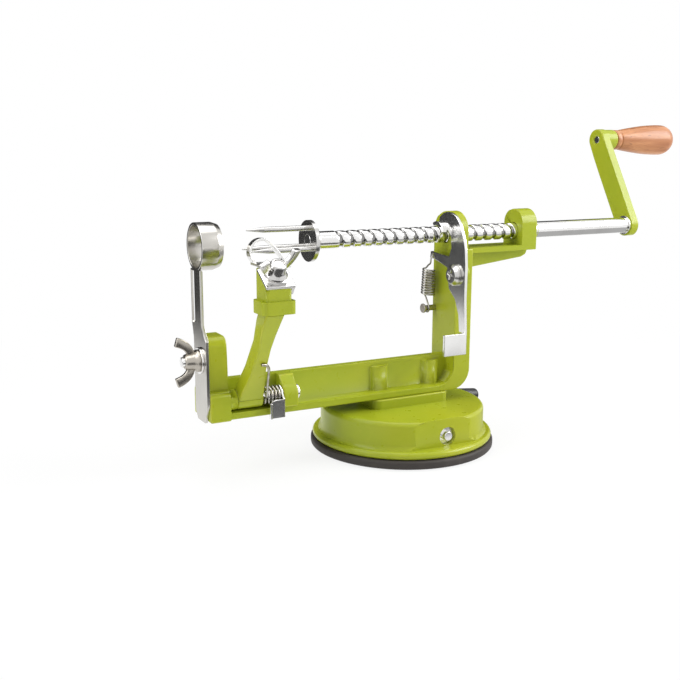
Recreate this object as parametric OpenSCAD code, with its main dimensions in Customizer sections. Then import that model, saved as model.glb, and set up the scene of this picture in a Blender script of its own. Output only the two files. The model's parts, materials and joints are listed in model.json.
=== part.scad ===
// Table-top apple peeler, corer and slicer with a suction base.
// X runs along the feed screw toward the crank, Y away from the user, Z up.
// The origin is the middle of the suction pad's underside.

/* [Base] */
// diameter of the rubber suction pad
pad_d = 100; // [94:1:106]
// height of the rubber rim under the housing
pad_rim_h = 4.8; // [4:0.1:6]
// thickness of the rubber diaphragm
pad_skin = 3; // [2:0.1:4]
// height of the suction hollow under the pad's middle
pad_hollow = 3.2; // [2.8:0.1:4]
// width of the ring of rubber that bears on the table
pad_ring = 9; // [6:0.5:12]
// diameter of the housing wall
base_d = 89; // [86:1:94]
// diameter of the housing's foot flange
foot_d = 98; // [95:1:102]
// thickness of the foot flange
foot_h = 4; // [3:0.1:4.4]
// height of the housing above the rubber rim
base_h = 18.4; // [18:0.1:24]
// housing wall thickness
base_wall = 3; // [2:0.1:3.5]
// radius of the housing's top edge
base_edge = 2.5; // [1:0.1:3]
// width of the flats that the lever shaft goes through
flat_w = 32; // [24:1:34]
// length of the raised seat for the frame
seat_l = 46; // [44:1:54]
// width of the raised seat for the frame
seat_w = 24; // [23:0.5:30]
// height of the raised seat
seat_h = 5.3; // [3:0.1:8]

/* [Suction lever] */
// distance of the lever shaft from the base's middle, toward the crank
lever_x = 2.8; // [0:0.1:3]
// height of the lever shaft above the rubber rim
lever_up = 9; // [8.8:0.1:9.6]
// diameter of the lever shaft
lever_d = 9.4; // [9:0.1:9.8]
// diameter of the eccentric in the shaft's middle
ecc_d = 5; // [4.4:0.1:5]
// throw of the eccentric
ecc_throw = 2; // [1.6:0.05:2]
// length of the eccentric
ecc_l = 9; // [8:0.5:12]
// diameter of the stem's foot on the pad
stem_foot_d = 20; // [16:0.5:22]
// lever angle, from the middle of its stroke, at which the pad is pulled up
ecc_angle = 37.5; // [25:0.5:40]
// distance from the shaft to the end of the grip
lever_reach = 80; // [70:1:86]
// drop of the lever arm from level, in degrees
lever_drop = 6; // [2:0.5:6]
// diameter of the bent lever arm
lever_arm_d = 5; // [4.6:0.1:5.6]
// length of the plastic grip
grip_l = 38; // [30:1:46]
// diameter of the plastic grip
grip_d = 8; // [7.6:0.1:9]
// diameter of the round end in the middle of the shaft's near face
lever_nub_d = 4.8; // [3:0.1:6]

/* [Frame] */
// height of the feed screw above the frame's underside
screw_rise = 84.7; // [80:0.1:92]
// width of the bar's bottom flange
bar_w = 22; // [21:0.5:24]
// thickness of the bottom flange
flange_t = 3.5; // [2.5:0.1:4]
// height of the bar over all
bar_h = 19; // [17:0.5:22]
// thickness of the bar's web
web_t = 4.4; // [3.6:0.1:4.6]
// distance from the base's middle to the upright's front face
upright_x = 26; // [25:0.5:30]
// thickness of the upright along the screw
upright_t = 11; // [9:0.5:14]
// radius of the corner between bar and upright
corner_r = 11; // [6:0.5:11]
// radius of the fillet in front of the upright's foot
fillet_r = 9; // [5:0.5:10]
// radius of the upright's round head
head_r = 11; // [9:0.5:11.5]
// thickness of the head along the screw
head_t = 8; // [7:0.5:9]
// height of the head's centre above the screw
head_up = 1.4; // [0:0.1:4]
// depth of the cored pocket in the upright's back
core_depth = 7; // [4:0.5:8]
// distance from the base's middle to the rear bearing's front face
rear_x = 71.5; // [66:0.5:76]
// thickness of the rear bearing along the screw
rear_t = 10.5; // [8:0.5:14]
// width of the rear bearing
rear_w = 17; // [15:0.5:20]
// depth from the screw to the rear arm's flange
rear_drop = 7.4; // [6.8:0.1:9]
// thickness of the rear arm's flange
rear_flange_t = 2.8; // [2:0.1:4]
// height of the rear arm's web where it leaves the upright
rear_web_h = 9; // [6:0.5:12]
// height of the rear arm's web at its far end
rear_web_end = 4.5; // [3:0.5:6]
// distance from the base's middle to the post's back face
post_x = 104.5; // [104:0.5:112]
// thickness of the front post along the screw
post_t = 10.5; // [9:0.5:13]
// width of the front post
post_w = 18; // [16:0.5:22]
// height of the front post above the frame's underside
post_h = 41.5; // [38:0.5:46]
// height of the post's thicker foot
post_foot_h = 15; // [14.6:0.1:18]
// how far the foot stands out past the bar toward the user
post_foot_out = 2; // [1:0.5:4]
// distance of the two base screws from the base's middle
boss_x = 16; // [14.5:0.5:17]
// diameter of the screw bosses
boss_d = 12; // [10:0.5:13]
// depth of the bosses' tops below the bar's top
boss_low = 2.4; // [1.5:0.1:3]

/* [Feed screw] */
// outer diameter of the thread
screw_d = 9; // [8:0.1:9.6]
// pitch of the thread
pitch = 6.35; // [5.5:0.05:7.5]
// depth of the thread groove
groove_depth = 0.9; // [0.6:0.05:1]
// width of the groove at its mouth
groove_mouth = 2.4; // [2.2:0.05:3]
// width of the groove at its root
groove_root = 1.8; // [1.7:0.05:2]
// distance from the base's middle to the thread's front end
thread_front = 50; // [44:0.5:54]
// distance from the base's middle to the thread's back end
thread_back = 91; // [84:0.5:98]
// extra diameter of the plain part
plain_extra = 0.2; // [0.15:0.05:0.4]
// running clearance in the frame's bearings
bearing_gap = 0.1; // [0.05:0.05:0.4]
// distance from the base's middle to the crank
crank_x = 155; // [148:0.5:164]

/* [Fork] */
// diameter of the fork's hub
fork_d = 21; // [19:0.5:21]
// thickness of the hub
fork_t = 4; // [3:0.5:6]
// radius of the circle the prongs stand on
prong_ring = 6.5; // [5.5:0.25:6.5]
// diameter of a prong
prong_d = 2.8; // [2:0.1:3]
// length of a prong
prong_l = 33; // [24:1:40]
// length of a prong's point
prong_tip = 9; // [5:0.5:12]

/* [Crank] */
// distance between the screw and the handle
crank_r = 58; // [50:1:66]
// lean of the crank from upright, in degrees
crank_lean = 30; // [0:1:60]
// width of the crank arm
crank_w = 12.8; // [12:0.2:16]
// thickness of the crank arm
crank_t = 5; // [4:0.25:7]
// length of the wooden handle
handle_l = 48; // [44:1:60]
// largest diameter of the handle
handle_d = 18.5; // [16:0.5:21]
// diameter of the handle's neck
handle_neck = 12; // [10.8:0.1:13]
// diameter of the handle pin
handle_pin_d = 4.6; // [4:0.1:5.4]
// length of the boss between arm and handle
shoulder_l = 8; // [3:0.5:10]
// thickness of the stop washer
stop_t = 1; // [0.8:0.1:2]
// diameter of the stop washer
stop_d = 11.2; // [10.6:0.2:12]

/* [Release lever] */
// thickness of the lever plate
plate_t = 1.6; // [1.2:0.1:1.8]
// gap between the upright's face and the plate
plate_gap = 1.9; // [1.8:0.1:2.4]
// distance of the pivot toward the user from the screw
pivot_out = 15.5; // [15:0.25:17]
// depth of the pivot below the screw
pivot_down = 20.2; // [19:0.2:23]
// diameter of the pivot screw
pivot_d = 5; // [4:0.1:5.4]
// diameter of the pivot screw's head
pivot_head_d = 11.4; // [9:0.2:12]
// thickness of the saddle over the screw
saddle_t = 2.2; // [1.6:0.1:2.6]
// clearance between saddle and thread
saddle_gap = 0.4; // [0.3:0.05:0.6]
// length of the saddle along the screw
saddle_l = 4.2; // [3.8:0.2:6]
// diameter of the follower pin in the thread groove
follower_d = 1.1; // [0.9:0.05:1.2]
// length of the lever below its pivot
thumb_down = 30; // [26:0.5:34]
// height of the thumb tab
thumb_h = 11.5; // [9:0.5:14]
// length of the thumb tab along the screw
thumb_l = 14; // [10:0.5:16]

/* [Lever spring] */
// wire diameter
pull_wire = 0.9; // [0.8:0.05:1]
// coil diameter to the wire's middle
pull_coil = 7.2; // [6:0.1:7.4]
// number of coils
pull_turns = 10; // [6:1:11]
// pitch of the coils
pull_pitch = 1.45; // [1.42:0.01:1.55]
// spring hole's distance past the screw, away from the user
hole_in = 6.5; // [5.5:0.25:7]
// spring hole's depth below the screw
hole_down = 12.2; // [11.8:0.1:12.6]
// anchor stud's distance past the screw, away from the user
stud_in = 9; // [8.5:0.1:9]
// anchor stud's depth below the screw
stud_down = 41.7; // [41:0.1:44]
// diameter of the anchor stud
stud_d = 3.2; // [2.6:0.1:3.4]

/* [Slicer] */
// thickness of the slicer plate
slicer_t = 1.6; // [1.2:0.1:2]
// width of the slicer plate
slicer_w = 17; // [15:0.5:20]
// width of the slicing blade
blade_w = 13; // [11:0.5:15]
// shift of the slicer plate toward the user
slicer_out = 4; // [3:0.5:5]
// inner diameter of the coring ring
corer_d = 20.6; // [20:0.2:22]
// wall of the coring ring
corer_wall = 1.2; // [0.8:0.1:1.4]
// length of the coring ring
corer_l = 11; // [8:0.5:12]
// height of the clamping stud above the frame's underside
clamp_z = 30; // [28:0.5:32]
// diameter of the clamping studs
clamp_d = 5; // [4:0.1:5.4]
// travel of the slicer each way in its slot
slot_play = 2; // [1:0.25:2]
// thickness of the clamp washer
washer_t = 1.1; // [0.8:0.1:1.6]
// diameter of the clamp washer
washer_d = 13; // [11:0.5:14]

/* [Wing nuts] */
// diameter of the hub at its seat
nut_d = 11; // [9.5:0.25:12]
// height of the hub
nut_h = 7; // [6:0.25:8]
// distance from the nut's middle to a wing's tip
nut_wing = 12.5; // [10.5:0.25:14]
// same on the blade's smaller nut
nut_wing_small = 12.2; // [10:0.1:12.4]
// height of the wing tips above the seat
nut_tip = 12.5; // [10:0.25:14]
// thickness of the wings
nut_wing_t = 2.4; // [1.6:0.1:2.6]

/* [Peeling arm] */
// distance of the arm's pivot toward the user from the screw
hinge_out = 7.6; // [7.6:0.05:8]
// height of the arm's pivot above the frame's underside
hinge_z = 9.5; // [9.2:0.1:10]
// diameter of the pivot pin
hinge_d = 5; // [4:0.1:5.2]
// diameter of the arm's barrel
barrel_d = 10; // [9:0.1:10]
// length of the arm's barrel
barrel_l = 13; // [11:0.5:13]
// distance from the back of the post to the barrel's back face
barrel_back = 17.1; // [16.1:0.1:17.1]
// running clearance of the arm on its pin
hinge_gap = 0.05; // [0.03:0.01:0.1]
// width of the arm at its waist
arm_w = 6.6; // [6:0.2:8]
// thickness of the arm
arm_t = 8; // [6.5:0.5:9]
// distance of the arm's head toward the user from the screw
arm_out = 41; // [39:0.5:43]
// height of the arm's head above the frame's underside
arm_head_z = 57.5; // [54:0.5:60]
// length of the head along the screw
arm_head_l = 16.4; // [15.2:0.2:17]
// width of the head
arm_head_w = 14; // [13:0.5:15]
// height of the head at its front
arm_head_h = 11.5; // [10.5:0.25:12.5]
// lean of the head's top toward the user, in degrees
head_lean = 34; // [28:1:36]
// step from the head's ledge in to its block
ledge_in = 1.9; // [1.5:0.1:2.2]
// height of the head's ledge
ledge_h = 6; // [5:0.25:6.5]
// height of the arm's waist above its pivot
arm_waist = 38; // [34:0.5:41]
// distance from the back of the post to the head's middle
head_back = 11.2; // [9.2:0.5:13.2]
// thickness of the blade clip
clip_t = 1.4; // [1:0.1:1.8]
// thickness of the peeling blade
peel_t = 1.2; // [0.9:0.1:1.4]
// outer radius of the blade's hoop
hoop_r = 6.5; // [6:0.1:7]
// width of the blade
hoop_w = 4; // [3:0.25:4.5]
// lean of the hoop, in degrees
hoop_lean = 40; // [30:1:45]
// distance of the hoop from the head's middle, away from the user
hoop_gap = 10.5; // [10.4:0.1:12]
// height of the hoop's middle above its shank
hoop_up = 4.8; // [4.6:0.1:5.4]
// width of the blade's foot
peel_foot = 11; // [10:0.2:11.4]

/* [Arm spring] */
// wire diameter
twist_wire = 1.4; // [1.2:0.05:1.5]
// coil diameter to the wire's middle
twist_coil = 8.4; // [8:0.1:8.6]
// number of coils
twist_turns = 4; // [2:1:4]
// pitch of the coils
twist_pitch = 1.92; // [1.86:0.01:1.95]
// length of the leg along the arm
twist_reach = 29; // [26:0.5:31]
// thickness of the arm catch
catch_t = 1; // [0.8:0.05:1.1]

/* [Hidden] */

$fn = 64;
eps = 0.01;
cut = 1;
fit_gap = 0.05;
seat_gap = 0.2;

base_top = pad_rim_h + base_h;
lever_z = pad_rim_h + lever_up;
knuckle_d = lever_d + 2;
base_in_top = base_top - base_wall;
bar_z = base_top + seat_h;
screw_z = bar_z + screw_rise;
flat_y = sqrt(pow(base_d / 2, 2) - pow(flat_w / 2, 2));
boss_in = 3;
flange_top = bar_z + flange_t;
bar_top = bar_z + bar_h;
upright_back = upright_x + upright_t;
rear_back = rear_x + rear_t;
post_front = -post_x - post_t;
barrel_x = post_x - barrel_back;
arm_head_x = post_x - head_back;
bearing_d = screw_d + plain_extra + 2 * bearing_gap;
plain_d = screw_d + plain_extra;
boss_top = bar_top - boss_low;
boss_hole = 5;
screw_head_d = 9;
screw_head_h = 3;

fork_back = -thread_front - 3;
fork_front = fork_back - fork_t;
spigot_d = 7;

plate_x1 = upright_x - plate_gap;
plate_x0 = plate_x1 - plate_t;
pivot_y = -pivot_out;
pivot_z = screw_z - pivot_down;
saddle_in = screw_d / 2 + saddle_gap;
saddle_out = saddle_in + saddle_t;
saddle_x0 = plate_x1 - saddle_l;
pivot_back = upright_x + 1.5;
follower_x = (saddle_x0 + plate_x1) / 2;
hole_y = hole_in;
hole_z = screw_z - hole_down;
stud_y = stud_in;
stud_z = screw_z - stud_down;

hinge_y = -hinge_out;
hinge_h = bar_z + hinge_z;
barrel_front = -barrel_x - barrel_l;
lug_l = 8;
head_y = -arm_out;
head_z = bar_z + arm_head_z;
head_top = head_z + arm_head_h;
head_x0 = -arm_head_x - arm_head_l / 2;
head_x1 = -arm_head_x + arm_head_l / 2;
arm_dy = hinge_y - head_y;
arm_dz = head_z - hinge_h;
arm_lean = atan2(arm_dy, arm_dz);
arm_len = sqrt(arm_dy * arm_dy + arm_dz * arm_dz);
coil_gap = 0.4;
coil_l = twist_wire + twist_pitch * (twist_turns + arm_lean / 360);
lug_front = -barrel_x + coil_l + catch_t + 2 * coil_gap;
block_x0 = head_x0 + ledge_in;
block_x1 = head_x1 - ledge_in;
block_front = head_y - arm_head_w / 2 + ledge_in / 2;
stud_x = -arm_head_x;
stud_in_head = 9;
pin_head_d = handle_pin_d + 4;
hoop_y0 = head_y + hoop_gap;

clamp_y = -slicer_out;
clamp_h = bar_z + clamp_z;
slicer_x1 = post_front;
slicer_x0 = slicer_x1 - slicer_t;
washer_x0 = slicer_x0 - washer_t;

handle_x0 = crank_x + crank_t + shoulder_l + 0.3;
handle_x1 = handle_x0 + handle_l;
crank_dir = [0, sin(crank_lean), cos(crank_lean)];

lime = [0.67, 0.71, 0.19];
steel = [0.75, 0.76, 0.78];
dark = [0.35, 0.35, 0.36];
rubber = [0.2, 0.17, 0.17];
wood = [0.8, 0.55, 0.37];

// draw a Y-Z outline and give it a length along X
module along_x(x0, x1) {
    translate([x0, 0, 0])
        rotate([90, 0, 90])
            linear_extrude(x1 - x0)
                children();
}

// draw an X-Z outline and give it a length along Y
module along_y(y0, y1) {
    translate([0, y1, 0])
        rotate([90, 0, 0])
            linear_extrude(y1 - y0)
                children();
}

// round bar along X
module rod_x(x0, x1, d) {
    translate([x0, 0, 0])
        rotate([0, 90, 0])
            cylinder(d = d, h = x1 - x0);
}

// round bar along Y
module rod_y(y0, y1, d) {
    translate([0, y1, 0])
        rotate([90, 0, 0])
            cylinder(d = d, h = y1 - y0);
}

// rectangle between two corners with round corners
module round_box(a, b, r) {
    translate([a[0] + r, a[1]])
        square([b[0] - a[0] - 2 * r, b[1] - a[1]]);
    translate([a[0], a[1] + r])
        square([b[0] - a[0], b[1] - a[1] - 2 * r]);
    for (x = [a[0] + r, b[0] - r])
        for (y = [a[1] + r, b[1] - r])
            translate([x, y])
                circle(r);
}

// at the feed screw's axis
module at_screw() {
    translate([0, 0, screw_z])
        children();
}

// at the suction lever's shaft
module at_lever() {
    translate([lever_x, 0, lever_z])
        children();
}

// on the front edge of the leaning top of the arm's head
module at_seat() {
    translate([0, block_front, head_top])
        rotate([head_lean, 0, 0])
            children();
}

// the same place's Y and Z
function seat_pt(y, z) = [block_front + y * cos(head_lean) - z * sin(head_lean),
    head_top + y * sin(head_lean) + z * cos(head_lean)];

// at the arm's pivot
module at_hinge() {
    translate([0, hinge_y, hinge_h])
        children();
}

// a sweep of a round wire along points, as one unbroken tube
function unit(v) = v / norm(v);
function tangents(p) = [for (i = [0:len(p) - 1])
    unit(p[min(i + 1, len(p) - 1)] - p[max(i - 1, 0)])];
function side_step(n, t) = unit(n - t * (n * t));
function frames(t, n0) = [for (i = 0, n = side_step(n0, t[0]); i < len(t);
    i = i + 1, n = i < len(t) ? side_step(n, t[i]) : n) n];
function wire_points(p, d, sides, n0) =
    let (t = tangents(p), n = frames(t, n0))
    [for (i = [0:len(p) - 1]) for (k = [0:sides - 1])
        p[i] + d / 2 * (cos(360 * k / sides) * n[i] + sin(360 * k / sides) * cross(t[i], n[i]))];
function wire_faces(rings, sides) = concat(
    [for (i = [0:rings - 2]) for (k = [0:sides - 1])
        [i * sides + k, (i + 1) * sides + k, (i + 1) * sides + (k + 1) % sides]],
    [for (i = [0:rings - 2]) for (k = [0:sides - 1])
        [i * sides + k, (i + 1) * sides + (k + 1) % sides, i * sides + (k + 1) % sides]],
    [for (k = [1:sides - 2]) [0, k, k + 1]],
    [for (k = [1:sides - 2]) [(rings - 1) * sides, (rings - 1) * sides + k + 1,
        (rings - 1) * sides + k]]);
function self_gap(p, d, apart) = min([for (i = [0:len(p) - 1 - apart])
    for (k = [i + apart:len(p) - 1]) norm(p[i] - p[k])]) - d;

module wire(p, d, n0) {
    polyhedron(wire_points(p, d, 6, n0), wire_faces(len(p), 6));
}

// rubber pad with a raised middle, held up by the stem
module suction_pad() {
    color(rubber)
        rotate_extrude()
            polygon([
                [0, pad_hollow],
                [12, pad_hollow],
                [pad_d / 2 - 1 - pad_ring, 0],
                [pad_d / 2 - 1, 0],
                [pad_d / 2, 1],
                [pad_d / 2, pad_rim_h - 1],
                [pad_d / 2 - 1, pad_rim_h],
                [base_d / 2 - base_wall - 0.3, pad_rim_h],
                [base_d / 2 - base_wall - 6, pad_rim_h - 0.6],
                [14, pad_hollow + pad_skin],
                [0, pad_hollow + pad_skin]]);
}

// hollow base with its foot, flats for the lever and the frame's seat
module base_housing() {
    color(lime)
        difference() {
            union() {
                translate([0, 0, pad_rim_h])
                    rotate_extrude() {
                        square([foot_d / 2 - foot_h / 2, foot_h]);
                        translate([foot_d / 2 - foot_h / 2, foot_h / 2])
                            circle(foot_h / 2);
                    }
                difference() {
                    union() {
                        translate([0, 0, pad_rim_h + foot_h - 0.5])
                            cylinder(d1 = base_d + 4, d2 = base_d - 0.2, h = 3);
                        translate([0, 0, pad_rim_h])
                            rotate_extrude() {
                                square([base_d / 2, base_h - base_edge]);
                                square([base_d / 2 - base_edge, base_h]);
                                translate([base_d / 2 - base_edge, base_h - base_edge])
                                    circle(base_edge);
                            }
                    }
                    for (s = [-1, 1])
                        translate([-base_d / 2, s > 0 ? flat_y : -flat_y - base_d,
                            pad_rim_h + foot_h])
                            cube([base_d, base_d, base_h]);
                }
                translate([0, 0, base_top - eps])
                    linear_extrude(seat_h + eps)
                        round_box([-seat_l / 2, -seat_w / 2], [seat_l / 2, seat_w / 2], 4);
            }
            difference() {
                intersection() {
                    translate([0, 0, pad_rim_h - cut])
                        cylinder(d = base_d - 2 * base_wall, h = base_in_top - pad_rim_h + cut);
                    translate([-base_d / 2, -flat_y + base_wall, 0])
                        cube([base_d, 2 * (flat_y - base_wall), base_top]);
                }
                at_lever()
                    rod_y(-flat_y, -flat_y + base_wall + boss_in, lever_d + 4.4);
            }
            at_lever() {
                rod_y(-base_d, base_d, lever_d + 2 * fit_gap);
                rod_y(flat_y, base_d, knuckle_d + 0.8);
            }
            for (x = [-boss_x, boss_x])
                translate([x, 0, base_in_top - cut])
                    cylinder(d = boss_hole + 2 * fit_gap, h = bar_z - base_in_top + 2 * cut);
        }
}

// two screws that hold the frame on the base
module base_screws() {
    color(steel)
        for (x = [-boss_x, boss_x])
            translate([x, 0, 0]) {
                difference() {
                    translate([0, 0, base_in_top - screw_head_h])
                        cylinder(d = screw_head_d, h = screw_head_h);
                    translate([0, 0, base_in_top - screw_head_h - cut])
                        cylinder(d = 4, h = 1.5 + cut, $fn = 6);
                }
                translate([0, 0, base_in_top - eps])
                    cylinder(d = boss_hole, h = boss_top - 2.6 - base_in_top);
            }
}

// stem with a hook that rides on the lever's eccentric
module suction_stem() {
    hook_z = lever_z + ecc_throw * sin(ecc_angle);
    slot_h = ecc_d + 0.5;
    slot_x = ecc_throw + ecc_d / 2 + 0.4;
    hook_t = 1.6;
    foot_z = pad_hollow + pad_skin;
    color(steel) {
        translate([0, 0, foot_z])
            cylinder(d = stem_foot_d, h = 1.5);
        translate([0, 0, foot_z + eps])
            cylinder(d = 7, h = hook_z - slot_h / 2 - hook_t / 2 - foot_z);
        difference() {
            along_y(-ecc_l / 2 + 0.5, ecc_l / 2 - 0.5)
                translate([lever_x, hook_z])
                    round_box([-slot_x - hook_t, -slot_h / 2 - hook_t],
                        [slot_x + hook_t, slot_h / 2 + hook_t], 1.5);
            along_y(-ecc_l, ecc_l)
                translate([lever_x - slot_x, hook_z - slot_h / 2])
                    square([2 * slot_x + 3, slot_h]);
        }
    }
}

// lever shaft with its eccentric and the bent arm behind the base
module suction_lever() {
    arm_y = flat_y + 1 + lever_arm_d / 2;
    shaft_y0 = -flat_y + 2.2;
    color(steel)
        at_lever() {
            difference() {
                rod_y(shaft_y0, flat_y + 1, lever_d);
                rod_y(-ecc_l / 2, ecc_l / 2, lever_d + cut);
            }
            rod_y(-flat_y - 0.8, shaft_y0 + eps, lever_nub_d);
            translate([-ecc_throw * cos(ecc_angle), 0, ecc_throw * sin(ecc_angle)])
                rod_y(-ecc_l / 2 - eps, ecc_l / 2 + eps, ecc_d);
            rod_y(flat_y + 1 - eps, arm_y + lever_arm_d / 2 + 0.5, knuckle_d);
            translate([0, arm_y, 0])
                rotate([0, lever_drop, 0])
                    rod_x(0, lever_reach - 4, lever_arm_d);
        }
}

// plastic grip pushed on the lever arm
module lever_grip() {
    arm_y = flat_y + 1 + lever_arm_d / 2;
    color(dark)
        translate([lever_x, arm_y, lever_z])
            rotate([0, lever_drop, 0])
                rotate([0, 90, 0])
                    difference() {
                        translate([0, 0, lever_reach - grip_l])
                            rotate_extrude() {
                                square([grip_d / 2 - 2, grip_l]);
                                translate([0, 2])
                                    square([grip_d / 2, grip_l - 4]);
                                for (z = [2, grip_l - 2])
                                    translate([grip_d / 2 - 2, z])
                                        circle(2);
                            }
                        translate([0, 0, lever_reach - grip_l - cut])
                            cylinder(d = lever_arm_d, h = grip_l - 4 + cut);
                    }
}

// ring on the shaft inside the near wall
module lever_ring() {
    ring_y = -flat_y + base_wall + boss_in + 0.3;
    color(steel)
        at_lever()
            difference() {
                rod_y(ring_y, ring_y + 1.4, lever_d + 2.4);
                rod_y(ring_y - cut, ring_y + 2 + cut, lever_d);
            }
}

// side outline of the cast bar and upright
module bar_side(top) {
    difference() {
        union() {
            translate([post_front, bar_z])
                square([upright_back - post_front, flange_t]);
            translate([upright_x, bar_z])
                square([upright_t, top - bar_z]);
            translate([upright_x - fillet_r, flange_top - eps])
                square([fillet_r + eps, fillet_r + eps]);
        }
        translate([upright_x - fillet_r, flange_top + fillet_r])
            circle(fillet_r);
        translate([upright_back - corner_r, bar_z])
            difference() {
                translate([0, -cut])
                    square([corner_r + cut, corner_r + cut]);
                translate([0, corner_r])
                    circle(corner_r);
            }
    }
}

// head and neck of the upright, drawn in Y-Z
module head_outline() {
    translate([-bar_w / 2, bar_z + corner_r])
        square([bar_w, screw_z + head_up - bar_z - corner_r]);
    translate([0, screw_z + head_up])
        circle(head_r);
}

module rear_arm() {
    flange_z = screw_z - rear_drop;
    web_z = flange_z - rear_flange_t;
    along_x(rear_x, rear_back) {
        translate([-rear_w / 2, web_z])
            square([rear_w, screw_z - web_z + 3.8]);
        translate([0, screw_z + 3.8])
            circle(rear_w / 2);
    }
    translate([upright_back - eps, -rear_w / 2, web_z])
        cube([rear_x - upright_back + 2 * eps, rear_w, rear_flange_t]);
    along_y(-web_t / 2, web_t / 2)
        polygon([
            [upright_back - eps, web_z + eps],
            [upright_back - eps, web_z - rear_web_h],
            [rear_back - 6, web_z - rear_web_end],
            [rear_back - 3, web_z - rear_web_end + 1.2],
            [rear_back - 1.5, web_z + eps]]);
}

module front_post() {
    top = bar_z + post_h;
    foot_top = bar_z + post_foot_h;
    along_x(post_front, -post_x)
        round_box([-post_w / 2, bar_z], [post_w / 2, top], 5);
    along_x(post_front, -post_x) {
        translate([-post_w / 2, bar_z])
            square([post_w, post_h / 2]);
        translate([-bar_w / 2 - post_foot_out, bar_z])
            square([bar_w + post_foot_out, post_foot_h - 3]);
        round_box([-bar_w / 2 - post_foot_out, bar_z], [bar_w / 2, foot_top], 3);
    }
    at_hinge()
        rod_x(-post_x - eps, barrel_front - 0.3, barrel_d);
}

// lug at the back of the arm's pivot pin
module hinge_lug() {
    along_x(lug_front, lug_front + lug_l) {
        translate([hinge_y, hinge_h])
            circle(barrel_d / 2 + 0.6);
        translate([hinge_y, flange_top - eps])
            square([-hinge_y, hinge_h - flange_top]);
        polygon([
            [hinge_y - barrel_d / 2 - 0.6, flange_top - eps],
            [hinge_y - barrel_d / 2 - 0.6, hinge_h],
            [hinge_y, hinge_h],
            [hinge_y, flange_top - eps]]);
        polygon([
            [hinge_y - 3, hinge_h + 4],
            [hinge_y + 1, bar_top],
            [0, bar_top],
            [0, flange_top]]);
    }
}

module pivot_lug() {
    along_x(plate_x1 + 0.1, pivot_back) {
        translate([pivot_y, pivot_z])
            circle(6.5);
        polygon([
            [pivot_y, pivot_z + 6.5],
            [-bar_w / 2 + 3, pivot_z + 6.5],
            [-bar_w / 2 + 3, pivot_z - 12],
            [pivot_y - 4.5, pivot_z - 4.7]]);
    }
}

module frame_casting() {
    color(lime)
        difference() {
            union() {
                along_y(-bar_w / 2, bar_w / 2)
                    bar_side(bar_z + corner_r + eps);
                along_x(upright_x, upright_x + head_t)
                    head_outline();
                translate([upright_x, -bar_w / 2, bar_z + corner_r])
                    cube([upright_t, bar_w, screw_z - rear_drop - bar_z - corner_r]);
                along_y(-web_t / 2, web_t / 2)
                    translate([-post_x - eps, flange_top - eps])
                        square([upright_x + post_x + 2 * eps, bar_h - flange_t]);
                for (x = [-boss_x, boss_x])
                    translate([x, 0, bar_z])
                        cylinder(d = boss_d, h = boss_top - bar_z);
                rear_arm();
                front_post();
                hinge_lug();
                pivot_lug();
            }
            at_screw()
                rod_x(upright_x - cut, rear_back + cut, bearing_d);
            translate([upright_back - core_depth, -bar_w / 2 + 3.5, bar_top + 5])
                cube([core_depth + cut, bar_w - 7,
                    screw_z - rear_drop - rear_flange_t - rear_web_h - bar_top - 9]);
            for (x = [-boss_x, boss_x])
                translate([x, 0, bar_z - cut])
                    cylinder(d = boss_hole + 2 * fit_gap, h = boss_top - 1.6 - bar_z + cut);
            at_hinge()
                rod_x(post_front + 1.5, lug_front + lug_l + cut, hinge_d);
            translate([0, pivot_y, pivot_z])
                rod_x(plate_x1 - cut, pivot_back + cut, pivot_d);
            translate([0, stud_y, stud_z])
                rod_x(upright_x - cut, upright_x + 3, stud_d);
            translate([0, clamp_y, clamp_h])
                rod_x(post_front - cut, -post_x - 2, clamp_d);
        }
}

// points of the thread, in turns of 16 steps with four points a pitch
thread_steps = 16;
thread_turns = floor((thread_back + thread_front) / pitch);
thread_n = thread_turns * thread_steps;
thread_lead = pitch / 360;
thread_x = thread_phase(-thread_front);
function thread_phase(x) = x + (follower_x - groove_mouth / 2 - thread_lead * 90 - x) -
    pitch * floor((follower_x - groove_mouth / 2 - thread_lead * 90 - x) / pitch);
function fade(i) = min(1, i / 8, (thread_n - i) / 8);
function thread_point(i, j) =
    let (a = 360 * i / thread_steps,
        inset = (groove_mouth - groove_root) / 2,
        x = thread_x + thread_lead * a + [0, inset, inset + groove_root, groove_mouth][j],
        r = screw_d / 2 - (j == 1 || j == 2 ? groove_depth * fade(i) : 0))
    [x, r * cos(a), r * sin(a)];
thread_points = concat(
    [for (i = [0:thread_n]) for (j = [0:3]) thread_point(i, j)],
    [[thread_x - 0.5, 0, 0], [thread_x + thread_lead * 360 * thread_turns + groove_mouth + 0.5, 0, 0]]);
function tv(i, j) = 4 * i + j;
function two(a, b, c, d) = [[a, b, c], [a, c, d]];
function fan(loop, apex) = [for (k = [0:len(loop) - 1])
    [loop[k], loop[(k + 1) % len(loop)], apex]];
thread_start = concat([for (i = [0:thread_steps]) tv(i, 0)], [tv(0, 3), tv(0, 2), tv(0, 1)]);
thread_end = concat([for (i = [thread_n:-1:thread_n - thread_steps]) tv(i, 3)],
    [tv(thread_n, 0), tv(thread_n, 1), tv(thread_n, 2)]);
thread_faces = concat(
    [for (i = [0:thread_n - 1]) for (j = [0:2])
        each two(tv(i, j), tv(i, j + 1), tv(i + 1, j + 1), tv(i + 1, j))],
    [for (i = [0:thread_n - 1 - thread_steps])
        each two(tv(i, 3), tv(i + thread_steps, 0), tv(i + 1 + thread_steps, 0), tv(i + 1, 3))],
    fan(thread_start, 4 * thread_n + 4),
    fan(thread_end, 4 * thread_n + 5));

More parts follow.
